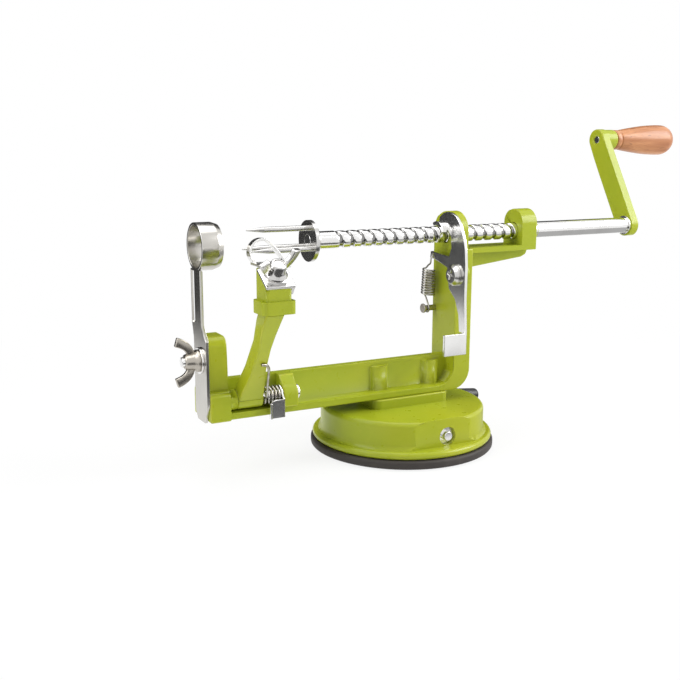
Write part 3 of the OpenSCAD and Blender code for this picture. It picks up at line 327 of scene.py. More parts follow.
@dataclass(frozen=True)
class StampedSteel:
    """Stamped plate with a brushed face and bright sheared edges."""

    name: str
    lay: Lay
    base: Triple = (0.88, 0.875, 0.86)
    sheared: Triple = (0.93, 0.925, 0.915)
    gloss: float = 0.14
    slot: Slot = Slot.PLATE

    def make(self) -> Material:
        """Brushed lines, a few deeper scratches and bright edges."""
        bench = NodeBench.named(self.name)
        brushed = bench.noise(1900.0, 3.0, self.lay.value)
        cloud = bench.noise(60.0, 3.0)
        scratch = bench.noise(700.0, 1.0, self.lay.value).ramp(0.66, 0.72)
        colour = bench.mix(cloud.ramp(0.3, 0.7) * 0.35, self.base, tuple(0.8 * c for c in self.base))
        return bench.shade(
            Base_Color=bench.mix(bench.mark("edge") * 0.9, colour, self.sheared),
            Metallic=1.0,
            Roughness=self.gloss + cloud * 0.08 + (brushed - 0.5) * 0.16,
            Normal=bench.bump(brushed - scratch * 0.4, 0.012, 0.5),
        )


@dataclass(frozen=True)
class DrawnWire:
    """Drawn spring wire with a faint straw tint."""

    name: str = "drawn_wire"
    slot: Slot = Slot.WIRE
    base: Triple = (0.50, 0.485, 0.45)
    straw: Triple = (0.36, 0.33, 0.27)
    gloss: float = 0.18

    def make(self) -> Material:
        """Clouds of straw tint and fine drawing marks."""
        bench = NodeBench.named(self.name)
        cloud = bench.noise(260.0, 3.0)
        marks = bench.noise(3400.0, 2.0)
        return bench.shade(
            Base_Color=bench.mix(cloud.ramp(0.38, 0.72), self.base, self.straw),
            Metallic=1.0,
            Roughness=self.gloss + marks * 0.14,
            Normal=bench.bump(marks, 0.008, 0.4),
        )


@dataclass(frozen=True)
class DarkRubber:
    """Moulded rubber of the suction pad."""

    name: str = "dark_rubber"
    slot: Slot = Slot.RUBBER
    base: Triple = (0.030, 0.024, 0.021)
    bloom: Triple = (0.060, 0.050, 0.044)
    gloss: float = 0.52

    def make(self) -> Material:
        """Pale bloom in clouds, over a fine mould texture."""
        bench = NodeBench.named(self.name)
        cloud = bench.noise(70.0, 4.0)
        mould = bench.noise(1500.0, 2.0)
        return bench.shade(
            Base_Color=bench.mix(cloud.ramp(0.45, 0.8) * 0.6, self.base, self.bloom),
            Roughness=self.gloss + cloud * 0.16,
            Normal=bench.bump(mould, 0.05, 0.5),
        )


@dataclass(frozen=True)
class DippedPlastic:
    """Soft dark plastic that the suction lever is dipped in."""

    name: str = "dipped_plastic"
    slot: Slot = Slot.GRIP
    base: Triple = (0.022, 0.022, 0.024)
    worn: Triple = (0.060, 0.060, 0.062)
    gloss: float = 0.30

    def make(self) -> Material:
        """Slight waviness of a dipped skin and pale wear."""
        bench = NodeBench.named(self.name)
        wave = bench.noise(180.0, 2.0)
        fine = bench.noise(1600.0, 2.0)
        colour = bench.mix(wave.ramp(0.5, 0.8) * 0.4, self.base, self.worn)
        return bench.shade(
            Base_Color=bench.mix(bench.mark("edge") * 0.5, colour, self.worn),
            Roughness=self.gloss + fine * 0.15,
            Normal=bench.bump(wave * 0.7 + fine * 0.3, 0.08, 0.5),
        )


@dataclass(frozen=True)
class TurnedWood:
    """Lacquered beech with its grain along the handle."""

    name: str = "turned_wood"
    slot: Slot = Slot.WOOD
    pale: Triple = (0.640, 0.285, 0.122)
    warm: Triple = (0.400, 0.145, 0.050)
    dark: Triple = (0.200, 0.068, 0.028)
    gloss: float = 0.34

    def make(self) -> Material:
        """Growth bands and fibres lengthwise, with short dark flecks and pores."""
        bench = NodeBench.named(self.name)
        bands = bench.noise(230.0, 3.0, (0.10, 0.55, 1.0))
        fibres = bench.noise(1700.0, 3.0, (0.035, 1.0, 1.0))
        flecks = bench.noise(900.0, 1.0, (0.16, 1.0, 1.0)).ramp(0.66, 0.74)
        colour = bench.mix(bands.ramp(0.32, 0.70), self.pale, self.warm)
        colour = bench.mix(fibres.ramp(0.45, 0.72) * 0.60, colour, self.warm)
        return bench.shade(
            Base_Color=bench.mix(flecks * 0.60, colour, self.dark),
            Roughness=self.gloss + fibres * 0.18,
            Coat_Weight=0.22 + bands * 0.10,
            Coat_Roughness=0.16,
            Normal=bench.bump(fibres - flecks * 0.5, 0.05, 0.45),
        )


class Paint(Enum):
    """Finishes of the pieces."""

    LIME = LimeEnamel()
    SCREW = PlatedSteel("turned_plating", Lay.ROUND_X)
    CROSS = PlatedSteel("cross_plating", Lay.ROUND_Y, gloss=0.14)
    CAST = PlatedSteel(
        "cast_plating", Lay.ALONG_Z, (0.66, 0.65, 0.635), (0.50, 0.49, 0.475), 0.18, 500.0, 0.03)
    AGED = PlatedSteel(
        "aged_plating", Lay.ALONG_Z, (0.50, 0.465, 0.41), (0.36, 0.33, 0.28), 0.24, 500.0, 0.03)
    PLATE = StampedSteel("stamped_plate", Lay.ALONG_Z)
    SLICER = StampedSteel("stamped_slicer", Lay.ALONG_Z, (0.62, 0.60, 0.56), (0.84, 0.83, 0.81), 0.18)
    CLIP = StampedSteel("stamped_clip", Lay.ALONG_Y, (0.62, 0.61, 0.60), slot=Slot.BRIGHT)
    WIRE = DrawnWire()
    RUBBER = DarkRubber()
    GRIP = DippedPlastic()
    WOOD = TurnedWood()


class Workshop:
    """Turned shapes, threads, bent wire, and what they are made with."""

    @staticmethod
    def flowing(points: Sequence[Vector], count: Callable[[Vector, Vector], int]) -> list[Vector]:
        """Smooth curve through the points.

        Args:
            points: Points that the curve passes through.
            count: Number of steps from one point to the next.

        Returns:
            The points along the curve.
        """
        rows = [2 * points[0] - points[1], *points, 2 * points[-1] - points[-2]]
        fine: list[Vector] = []
        for a, b, c, d in zip(rows, rows[1:], rows[2:], rows[3:]):
            steps = count(b, c)
            for t in (k / steps for k in range(steps)):
                bend, twist = 2 * a - 5 * b + 4 * c - d, 3 * b - a - 3 * c + d
                fine.append(0.5 * (2 * b + (c - a) * t + bend * t**2 + twist * t**3))
        return [*fine, rows[-2]]

    @staticmethod
    def spun(
        profile: Profile, centre: Vector, turn: Matrix, steps: int, pitch: float = 0.0, turns: int = 1,
    ) -> BMesh:
        """Spin a profile about an axis, or wind it along the axis where there is a pitch.

        Args:
            profile: Pairs of place along the axis and radius.
            centre: Point that the axis runs through, in metres.
            turn: Rotation that takes +X to the axis.
            steps: Faces in one turn.
            pitch: Advance in one turn.
            turns: Number of turns.

        Returns:
            The closed shape in its place.
        """
        shape = bmesh.new()
        row = [shape.verts.new((along * MM, 0.0, radius * MM)) for along, radius in profile]
        for first, second in zip(row, row[1:]):
            shape.edges.new((first, second))
        bmesh.ops.spin(
            shape, geom=shape.verts[:] + shape.edges[:], cent=(0, 0, 0), axis=(1, 0, 0),
            dvec=(pitch * MM / steps, 0, 0), angle=math.tau * turns, steps=steps * turns,
            use_merge=pitch == 0.0, use_normal_flip=False, use_duplicate=False)
        bmesh.ops.remove_doubles(shape, verts=shape.verts[:], dist=2e-6 if pitch else 1e-7)
        bmesh.ops.holes_fill(shape, edges=[e for e in shape.edges if e.is_boundary], sides=0)
        bmesh.ops.recalc_face_normals(shape, faces=shape.faces[:])
        bmesh.ops.transform(shape, matrix=Matrix.Translation(centre) @ turn.to_4x4(), verts=shape.verts[:])
        return shape

    @staticmethod
    def threaded(profile: Profile, centre: Vector, pitch: float, turns: int) -> BMesh:
        """Wind a profile of one pitch into a right-hand thread along +X, with its roots marked as corners.

        Args:
            profile: Pairs of place along the axis and radius, at the top of the screw.
            centre: Point on the axis where the profile's zero stands, in metres.
            pitch: Advance in one turn.
            turns: Number of turns.

        Returns:
            The closed thread in its place.
        """
        steps, root_h = 48, 0.3
        shape = Workshop.spun(profile, Vector(), Matrix.Identity(3), steps, pitch, turns)
        corner = shape.verts.layers.float.new("corner")
        deep = (min(radius for _, radius in profile) + root_h) * MM
        # Marked roots get painted shade in the plating.
        for vert in shape.verts:
            vert[corner] = float(math.hypot(vert.co.y, vert.co.z) < deep)
        bmesh.ops.translate(shape, vec=centre, verts=shape.verts[:])
        return shape

    @staticmethod
    def placed(shape: BMesh, name: str, material: Material) -> Object:
        """Put a shape, freed here, into the scene.

        Args:
            shape: Shape in its place.
            name: Name of the object.
            material: Its material.

        Returns:
            The object.
        """
        mesh = bpy.data.meshes.new(name)
        shape.to_mesh(mesh)
        shape.free()
        mesh.materials.append(material)
        thing = bpy.data.objects.new(name, mesh)
        bpy.context.scene.collection.objects.link(thing)
        return thing

    @staticmethod
    def join(shapes: Iterable[BMesh]) -> BMesh:
        """Put several shapes, freed here, into one.

        Args:
            shapes: The shapes.

        Returns:
            The one shape.
        """
        whole = bmesh.new()
        for shape in shapes:
            mesh = bpy.data.meshes.new("part_of_piece")
            shape.to_mesh(mesh)
            shape.free()
            whole.from_mesh(mesh)
            bpy.data.meshes.remove(mesh)
        return whole

    @staticmethod
    def final_shape(holder: Object) -> BMesh:
        """Take the shape of a helper object after its curve and modifiers, and remove the object.

        Args:
            holder: Object that is not in the scene yet.

        Returns:
            The shape.
        """
        bpy.context.scene.collection.objects.link(holder)
        bpy.context.view_layer.update()
        mesh = bpy.data.meshes.new_from_object(holder.evaluated_get(bpy.context.evaluated_depsgraph_get()))
        shape = bmesh.new()
        shape.from_mesh(mesh)
        bpy.data.batch_remove((holder, holder.data, mesh))
        return shape

    @staticmethod
    def winding(turns: int, steps: int = 24) -> list[Pair]:
        """Turns so far and angle, at even steps of a coil."""
        return [(k / steps, math.tau * k / steps) for k in range(steps * turns + 1)]

    @staticmethod
    def bent(path: Sequence[Vector], thickness: float, step: float) -> BMesh:
        """Sweep a round section along a smooth path and close its ends.

        Args:
            path: Points that the middle of the wire passes through.
            thickness: Diameter of the wire.
            step: Length between the points of the sweep.

        Returns:
            The closed wire, in metres.
        """
        points = Workshop.flowing(path, lambda first, last: max(1, round((last - first).length / step)))
        curve = bpy.data.curves.new("wire_line", "CURVE")
        curve.dimensions = "3D"
        curve.bevel_depth = thickness * MM / 2
        curve.bevel_resolution = 4
        curve.use_fill_caps = True
        curve.twist_mode = "MINIMUM"
        line = curve.splines.new("POLY")
        line.points.add(len(points) - 1)
        for knot, point in zip(line.points, points):
            knot.co = (*(point * MM), 1.0)
        shape = Workshop.final_shape(bpy.data.objects.new("wire_line", curve))
        bmesh.ops.remove_doubles(shape, verts=shape.verts[:], dist=1e-6)
        bmesh.ops.recalc_face_normals(shape, faces=shape.faces[:])
        return shape


@dataclass
class EdgeRounder:
    """Rounds the outer edges of a solid's copy, each as far as the faces beside it have room.

    Attributes:
        radius: Full width of a rounding, in metres.
        segments: Steps across a rounding.
        sharp: Angle in degrees from which an edge is rounded.
        least: Width in metres under which an edge stays as it is.
        slope: Change of width in a length along a run of edges.
        shared: Share of a face that a rounding can take where another one comes towards it.
        alone: Share of a face that it can take otherwise.
        stray: Distance from the skin, in radii, at which a point or face has left it.
        lifted: The same distance for a corner of a flat face.
    """

    radius: float
    segments: int
    sharp: float = 32.0
    least: float = 0.05 * MM
    slope: float = 0.4
    shared: float = 0.46
    alone: float = 0.85
    stray: float = 0.6
    lifted: float = 0.02

    @staticmethod
    def skin(solid: Mesh) -> BMesh:
        """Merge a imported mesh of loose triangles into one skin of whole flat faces.

        Args:
            solid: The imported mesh.

        Returns:
            The merged shape.
        """
        shape = bmesh.new()
        shape.from_mesh(solid)
        bmesh.ops.remove_doubles(shape, verts=shape.verts[:], dist=2e-6)
        bmesh.ops.dissolve_limit(
            shape, angle_limit=math.radians(1.0), use_dissolve_boundaries=False,
            verts=shape.verts[:], edges=shape.edges[:], delimit=set())
        return shape

    def room(self, loop: BMLoop, sharp: set[BMEdge]) -> float:
        """Largest width of rounding that one face beside an edge can take.

        Args:
            loop: The edge's corner in that face.
            sharp: Edges that are rounded.

        Returns:
            The width.
        """
        face, start = loop.face, loop.vert.co
        run = loop.link_loop_next.vert.co - start
        along, length = run.normalized(), run.length
        inward = face.normal.cross(along)
        ends = [((e.verts[0].co - start), (e.verts[1].co - start), self.shared if e in sharp else self.alone)
                for e in face.edges if e is not loop.edge]
        sides = [(p.dot(along), p.dot(inward), q.dot(along), q.dot(inward), part) for p, q, part in ends]
        least = math.inf
        for u in (share * length for share in (0.2, 0.5, 0.8)):
            for pu, pv, qu, qv, part in sides:
                if (pu > u) != (qu > u):
                    across = pv + (qv - pv) * (u - pu) / (qu - pu)
                    if across > 1e-7:
                        least = min(least, across * part)
        shrink, steepest = 0.0, 2.8
        for other, way in ((loop.link_loop_prev, -1), (loop.link_loop_next, 1)):
            if other.edge in sharp:
                step = (other.link_loop_next.vert.co - other.vert.co).normalized()
                turn = math.atan2(way * along.cross(step).dot(face.normal), along.dot(step))
                shrink += math.tan(min(max(turn, 0.0), steepest) / 2)
        return min(least, self.alone * length / shrink) if shrink > 1e-6 else least

    def widths(self, shape: BMesh) -> dict[BMEdge, float]:
        """Width of rounding of each sharp edge, with no sudden change along a run of edges.

        Args:
            shape: Merged shape.

        Returns:
            Widths by edge.
        """
        limit, passes = math.radians(self.sharp), 12
        sharp = {e for e in shape.edges if e.is_convex and e.calc_face_angle(0.0) > limit}
        width = {e: min([self.radius, *(self.room(loop, sharp) for loop in e.link_loops)]) for e in sharp}
        runs = ([e for e in v.link_edges if e in sharp] for v in shape.verts)
        pairs = [run for run in runs if len(run) == 2]
        for _ in range(passes):
            for first, second in pairs:
                reach = self.slope * (first.calc_length() + second.calc_length()) / 2
                width[first] = min(width[first], width[second] + reach)
                width[second] = min(width[second], width[first] + reach)
        return width

    def bevelled(
        self, skin: BMesh, width: Mapping[BMEdge, float],
    ) -> tuple[BMesh, set[BMFace]]:
        """Round the edges of a skin, each by its own width.

        Args:
            skin: Merged shape, whose form is left as it is.
            width: Widths by edge.

        Returns:
            The rounded shape, and the faces of its roundings.
        """
        weight = skin.edges.layers.float["bevel_weight_edge"]
        for edge, wide in width.items():
            edge[weight] = wide / self.radius if wide > self.least else 0.0
        mesh = bpy.data.meshes.new("edge_work")
        skin.to_mesh(mesh)
        mesh.materials.append(None)
        mesh.materials.append(None)
        holder = bpy.data.objects.new("edge_work", mesh)
        tool = holder.modifiers.new("rounding", "BEVEL")
        tool.affect, tool.limit_method, tool.offset_type = "EDGES", "WEIGHT", "OFFSET"
        tool.width, tool.segments, tool.profile, tool.material = self.radius, self.segments, 0.5, 1
        tool.use_clamp_overlap, tool.loop_slide = False, False
        shape = Workshop.final_shape(holder)
        strips = {f for f in shape.faces if f.material_index == 1}
        for face in shape.faces:
            face.material_index = 0
        return shape, strips

    def faults(
        self, shape: BMesh, strips: set[BMFace], tree: BVHTree,
    ) -> tuple[set[BMVert], list[Vector]]:
        """Find where a rounding leaves the skin, turns a face over or covers a hole.

        Args:
            shape: Rounded shape.
            strips: Faces of its roundings.
            tree: Search tree of the skin that it was rounded from.

        Returns:
            Points that left the skin, and the places where the roundings have to be narrower.
        """
        far, lifted = self.stray * self.radius, self.lifted * self.radius
        stray = {v for v in shape.verts if tree.find_nearest(v.co)[3] > far}
        beside = (f for v in stray for f in v.link_faces if f in strips)
        places = [w.co.copy() for f in beside for w in f.verts if w not in stray]
        for corners in shape.calc_loop_triangles():
            a, b, c = (loop.vert.co for loop in corners)
            side, middle = (b - a).cross(c - a), (a + b + c) / 3
            turned = corners[0].face in strips and side.length > 1e-7 and (
                side.normalized().dot(tree.find_nearest(middle)[1]) < -0.1)
            inside = (middle, *(0.4 * middle + 0.6 * corner for corner in (a, b, c)))
            if turned or any(tree.find_nearest(point)[3] > far for point in inside):
                places += [loop.vert.co.copy() for loop in corners if loop.vert not in stray]
        for face in shape.faces:
            if face not in strips:
                places += [v.co.copy() for v in face.verts if tree.find_nearest(v.co)[3] > lifted]
        return stray, places

    def round(self, solid: Mesh) -> tuple[BMesh, set[BMFace]]:
        """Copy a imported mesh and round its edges, narrower or at last not at all where there is no room.

        Args:
            solid: Mesh of loose triangles.

        Returns:
            The rounded shape, and the faces of its roundings.
        """
        tries, dropping = 7, 3
        skin = self.skin(solid)
        skin.edges.layers.float.new("bevel_weight_edge")
        width = self.widths(skin)
        tree = BVHTree.FromBMesh(skin)
        ends = [v for v in skin.verts if any(e in width for e in v.link_edges)]
        finder = KDTree(len(ends))
        for number, vert in enumerate(ends):
            finder.insert(vert.co, number)
        finder.balance()
        for left in range(tries, -1, -1):
            shape, strips = self.bevelled(skin, width)
            stray, places = self.faults(shape, strips, tree)
            if left == 0 or not stray and not places:
                break
            near = {finder.find(place)[1] for place in places}
            for edge in {e for k in near for e in ends[k].link_edges if e in width}:
                width[edge] *= 0.5 if left > dropping else 0.0
            shape.free()
        for vert in stray:
            vert.co = tree.find_nearest(vert.co)[0]
        skin.free()
        return shape, strips


@dataclass(frozen=True)
class Rounding:
    """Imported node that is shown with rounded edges: body, finish, width in millimetres and steps."""

    node: str
    body: Body
    paint: Paint
    radius: float
    segments: int = 2


@dataclass
class Fitter:
    """Turns shapes into pieces and sets them on the model's bodies."""

    nodes: Mapping[str, Object]
    joints: Mapping[str, Mapping[str, Any]]
    paints: Mapping[Paint, Material]
    made: list[str] = field(default_factory=list)

    def dress(self, node: str, paint: Paint) -> None:
        """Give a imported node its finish.

        Args:
            node: Name of the node.
            paint: Finish for all of it.
        """
        mesh = self.nodes[node].data
        mesh.materials.clear()
        mesh.materials.append(self.paints[paint])
        self.made.append(node)

    def fit(
        self, shape: BMesh, name: str, body: Body | None, paint: Paint, node: str, crease: float = 38.0,
    ) -> Object:
        """Close a shape into a piece.

        Args:
            shape: Shape in its place, freed here.
            name: Name of the piece.
            body: Body that it moves with, or None where the caller sets how it moves.
            paint: Its finish.
            node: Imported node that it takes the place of.
            crease: Angle in degrees above which an edge stays sharp.

        Returns:
            The piece's object.
        """
        piece = Workshop.placed(shape, name, self.paints[paint])
        piece.data.shade_smooth()
        piece.data.set_sharp_from_angle(angle=math.radians(crease))
        if body is not None:
            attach(piece, body.value)
        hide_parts(node)
        self.made.append(name)
        return piece

    def soften(self, row: Rounding) -> None:
        """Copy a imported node, round its edges and mark them.

        Args:
            row: The node and its rounding.
        """
        shape, strips = EdgeRounder(row.radius * MM, row.segments).round(self.nodes[row.node].data)
        self.mark_edges(shape, strips)
        piece = self.fit(shape, f"{row.node}_rounded", row.body, row.paint, row.node)
        weighted = piece.modifiers.new("even_faces", "WEIGHTED_NORMAL")
        weighted.keep_sharp = True
        weighted.weight = 80

    @staticmethod
    def mark_edges(shape: BMesh, strips: set[BMFace]) -> None:
        """Mark the middle of each rounding, as edge where it stands out and as corner where it lies in.

        Args:
            shape: Shape with rounded edges.
            strips: Faces of the roundings.
        """
        level, bent = 0.05, 0.1
        edge = shape.verts.layers.float.new("edge")
        corner = shape.verts.layers.float.new("corner")
        for vert in shape.verts:
            if vert.link_faces and all(f in strips for f in vert.link_faces):
                turns = [e.calc_face_angle_signed(0.0) for e in vert.link_edges]
                # On the enamel, this mark becomes a painted highlight.
                vert[edge] = float(min(turns) > -level and max(turns) > bent)
                # This mark becomes painted shade in the enamel and the plating.
                vert[corner] = float(max(turns) < level and min(turns) < -bent)


@dataclass
class SubAssembly:
    """Pieces that go together: shapes made here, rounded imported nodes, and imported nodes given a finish."""

    rounded: tuple[Rounding, ...] = ()
    plain: tuple[tuple[str, Paint], ...] = ()

    def build(self, fitter: Fitter) -> None:
        """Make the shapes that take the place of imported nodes, of which there are none here."""

    def dress(self, fitter: Fitter) -> None:
        """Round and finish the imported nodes.

        Args:
            fitter: Sets the pieces on the bodies.
        """
        for row in self.rounded:
            fitter.soften(row)
        for node, paint in self.plain:
            fitter.dress(node, paint)


@dataclass
class SuctionBase(SubAssembly):
    """Lime base with its rubber pad, cross shaft, lever and grip."""

    rounded: tuple[Rounding, ...] = (
        Rounding("base_housing", Body.FRAME, Paint.LIME, 0.9, 3),
        Rounding("suction_lever", Body.SUCTION, Paint.CROSS, 0.3),
        Rounding("lever_grip", Body.SUCTION, Paint.GRIP, 0.9, 3),
    )
    plain: tuple[tuple[str, Paint], ...] = (
        ("base_screws", Paint.CROSS), ("suction_stem", Paint.CROSS), ("lever_ring", Paint.CROSS))
    pad_r: float = 50.0
    rim_h: float = 4.8
    hollow: float = 3.2
    skin: float = 3.0
    ring: float = 9.0
    inner_r: float = 41.2
    flat_r: float = 12.0
    boss_r: float = 14.0

    def pad_profile(self) -> Profile:
        """Half section of the pad, from the middle of the underside round to the top.

        Returns:
            Pairs of height and radius.
        """
        r, h, inner = self.pad_r, self.rim_h, self.pad_r - 1.0 - self.ring
        under = [(self.hollow, 0.0), (self.hollow, self.flat_r)]
        for t in (k / 8 for k in range(1, 9)):
            ease = t * t * (3 - 2 * t)
            under.append((self.hollow * (1 - ease), self.flat_r + (inner - self.flat_r) * t))
        grooves = [(0.25, 1.6), (0.25, 2.2), (0.0, 2.6), (0.0, 4.6), (0.25, 5.0), (0.25, 5.6), (0.0, 6.0)]
        lip = [(0.0, r - 1.5), (0.35, r - 0.55), (1.0, r - 0.08), (1.7, r), (h - 1.7, r), (h - 0.9, r - 0.1),
               (h - 0.3, r - 0.6), (h, r - 1.4)]
        top = [(h, self.inner_r), (h - 0.6, self.inner_r - 5.7), (self.hollow + self.skin, self.boss_r),
               (self.hollow + self.skin, 0.0)]
        return [*under, *((depth, inner + out) for depth, out in grooves), *lip, *top]

    def build(self, fitter: Fitter) -> None:
        """Turn the pad.

        Args:
            fitter: Sets the piece on its body.
        """
        upright = Euler((0, -math.pi / 2, 0)).to_matrix()
        pad = Workshop.spun(self.pad_profile(), Vector(), upright, 128)
        fitter.fit(pad, "rubber_pad", Body.FRAME, Paint.RUBBER, "suction_pad", 50.0)


@dataclass
class CastFrame(SubAssembly):
    """Cast frame with the small steel pieces that sit in it."""

    rounded: tuple[Rounding, ...] = (
        Rounding("frame_casting", Body.FRAME, Paint.LIME, 0.9, 3),
        Rounding("pivot_screw", Body.FRAME, Paint.CAST, 0.4, 3),
        Rounding("spring_stud", Body.FRAME, Paint.AGED, 0.25),
        Rounding("arm_pin", Body.FRAME, Paint.SCREW, 0.4),
    )


@dataclass
class FeedScrew(SubAssembly):
    """Threaded shaft, its fork, stop washer, crank and handle."""

    rounded: tuple[Rounding, ...] = (
        Rounding("crank_arm", Body.CRANK, Paint.LIME, 0.9, 3),
        Rounding("handle_pin", Body.CRANK, Paint.SCREW, 0.35),
        Rounding("stop_washer", Body.FEED, Paint.SCREW, 0.15),
    )
    plain: tuple[tuple[str, Paint], ...] = (("fruit_fork", Paint.CAST),)
    axis_z: float = 113.2
    crest: float = 4.5
    root: float = 3.6
    pitch: float = 6.35
    groove_at: float = 22.0
    thread_from: float = -50.0
    turns: int = 21
    plain_r: float = 4.6
    spigot_r: float = 3.5
    fork_front: float = -57.0
    fork_back: float = -53.0
    front_end: float = -42.15
    rear_end: float = 78.3
    neck_at: float = 85.6
    crank_x: float = 155.0
    crank_t: float = 5.0
    handle_at: Triple = (168.3, 29.0, 163.43)
    handle_l: float = 48.0
    neck_r: float = 6.0
    belly_r: float = 9.25
    bore_r: float = 2.4
    sink_r: float = 4.6

    def thread_profile(self) -> Profile:
        """One pitch from the middle of a groove to the next, with rounded flanks.

        Returns:
            Pairs of place along the screw and radius.
        """
        low, top = self.root, self.crest
        half = [(0.0, low), (0.72, low), (0.90, low + 0.06), (1.00, low + 0.22), (1.06, top - 0.42),
                (1.14, top - 0.22), (1.34, top - 0.10), (1.80, top - 0.02), (2.40, top),
                (self.pitch / 2, top)]
        return half + [(self.pitch - along, radius) for along, radius in half[-2::-1]]

    def shaft_profiles(self) -> list[Profile]:
        """Plain lengths of the screw, each from one end of its axis to the other.

        Returns:
            Front length with its spigot, and rear length with its neck, groove, spigot and rivet head.
        """
        r, s, c = self.plain_r, self.spigot_r, 0.3
        tip, step, front_end = self.fork_front, self.fork_back, self.front_end
        front = [(tip, 0.0), (tip, s - c), (tip + c, s), (step, s), (step, r - c), (step + c, r),
                 (front_end - c, r), (front_end, r - c), (front_end, 0.0)]
        rear, neck, seat, back = self.rear_end, self.neck_at, self.crank_x, self.crank_x + self.crank_t
        tail = [(rear, 0.0), (rear, r - 0.12), (rear + c, r - 0.05), (neck - 0.5, r - 0.05),
                (neck - 0.3, r - 0.55), (neck + 0.2, r - 0.55), (neck + 0.5, r), (seat - c, r),
                (seat, r - c), (seat, s), (back, s),
                (back, s + 1.3), (back + 0.5, s + 1.5), (back + 1.2, s + 0.9), (back + 1.6, s - 0.6),
                (back + 1.6, 0.0)]
        return [front, tail]

    def handle_profile(self) -> Profile:
        """Closed half section of the handle, with collar, turned groove, belly, round end and sunk bore.

        Returns:
            Pairs of place along the handle and radius.
        """
        n, w, full, bore = self.neck_r, self.belly_r, self.handle_l, (0.0, self.bore_r)
        collar = [(0.0, n - 0.7), (0.3, n - 0.2), (0.9, n), (2.9, n), (3.4, n - 0.15), (3.7, n - 0.55),
                  (4.0, n - 0.15)]
        swell = [(full * at, n + share * (w - n))
                 for at, share in ((0.20, 0.26), (0.38, 0.62), (0.55, 0.88))]
        knots = [(4.6, n), *swell, (full * 0.72, w), (full - 0.93 * w, w - 0.01)]
        belly = Workshop.flowing([Vector(knot) for knot in knots], lambda first, last: 6)
        angles = (math.radians(degrees) for degrees in range(8, 59, 4))
        dome = [(full - w + w * math.sin(a), w * math.cos(a)) for a in angles]
        sink = [(full - 1.25, self.sink_r + 0.25), (full - 1.35, self.sink_r), (full - 2.3, self.sink_r),
                (full - 2.3, self.bore_r)]
        return [bore, *collar, *belly, *dome, *sink, bore]

    def build(self, fitter: Fitter) -> None:
        """Wind the thread and turn the shaft and the handle.

        Args:
            fitter: Sets the pieces on the bodies.
        """
        straight = Matrix.Identity(3)
        first = self.groove_at - self.pitch * math.ceil((self.groove_at - self.thread_from) / self.pitch)
        thread = Workshop.threaded(
            self.thread_profile(), Vector((first, 0, self.axis_z)) * MM, self.pitch, self.turns)
        level = Vector((0, 0, self.axis_z)) * MM
        shafts = [Workshop.spun(profile, level, straight, 64) for profile in self.shaft_profiles()]
        screw = Workshop.join([thread, *shafts])
        fitter.fit(screw, "threaded_shaft", Body.CRANK, Paint.SCREW, "feed_screw", 34.0)
        handle = Workshop.spun(self.handle_profile(), Vector(self.handle_at) * MM, straight, 80)
        fitter.fit(handle, "turned_handle", Body.HANDLE, Paint.WOOD, "crank_handle", 40.0)


@dataclass
class ReleaseLever(SubAssembly):
    """Stamped lever that holds the screw, and the coil spring that pulls it."""

    rounded: tuple[Rounding, ...] = (Rounding("release_lever", Body.RELEASE, Paint.PLATE, 0.28),)
    low: Triple = (20.9, 9.0, 71.5)
    high: Triple = (20.9, 6.5, 101.0)
    plate_mid: float = 23.3
    wire: float = 0.9
    sweep: float = 0.5
    coil: float = 7.2
    turns: int = 10
    step: float = 1.45
    loop: float = 2.2
    hook: float = 1.9
    lead: Pair = (2.4, 1.2)
    held: float = 4.0

    def spring_line(self) -> list[Vector]:
        """Middle line of the spring: loop on the stud, coils, hook through the lever.

        Returns:
            Points along the wire.
        """
        low, high, out = Vector(self.low), Vector(self.high), Vector((1, 0, 0))
        up = (high - low).normalized()
        side = up.cross(out)
        base = (low + high) / 2 - up * self.turns * self.step / 2
        reach, hook, (rise, aside) = self.plate_mid - low.x, self.hook, self.lead
        loop = [low + self.loop * (-math.sin(a) * up - math.cos(a) * side)
                for a in map(math.radians, range(160, -40, -16))]
        start = base - up * rise + side * aside
        coils = [base + up * self.step * done + self.coil / 2 * (math.cos(a) * side + math.sin(a) * out)
                 for done, a in Workshop.winding(self.turns)]
        top = base + up * (self.turns * self.step + 2.2) + side * aside
        neck = high - up * (hook + rise) + out * (reach - hook) * 0.6
        bow = [high - up * hook + out * (reach + hook * math.cos(a)) + up * hook * math.sin(a)
               for a in map(math.radians, range(180, -1, -18))]
        tip = high - up * (hook + 1.2) + out * (reach + hook)
        return [*loop, start, *coils, top, neck, *bow, tip]

    def build(self, fitter: Fitter) -> None:
        """Wind the spring between frame and lever.

        Args:
            fitter: Makes the piece.
        """
        wire = Workshop.bent(self.spring_line(), self.wire, self.sweep)
        spring = fitter.fit(wire, "lever_spring", None, Paint.WIRE, "pull_spring", 60.0)
        low, high = Vector(self.low), Vector(self.high)
        kept = (high - low).normalized() * self.held
        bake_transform(spring, Body.FRAME.value, Body.RELEASE.value, start=tuple((low + kept) * MM),
                 end=tuple((high - kept) * MM))


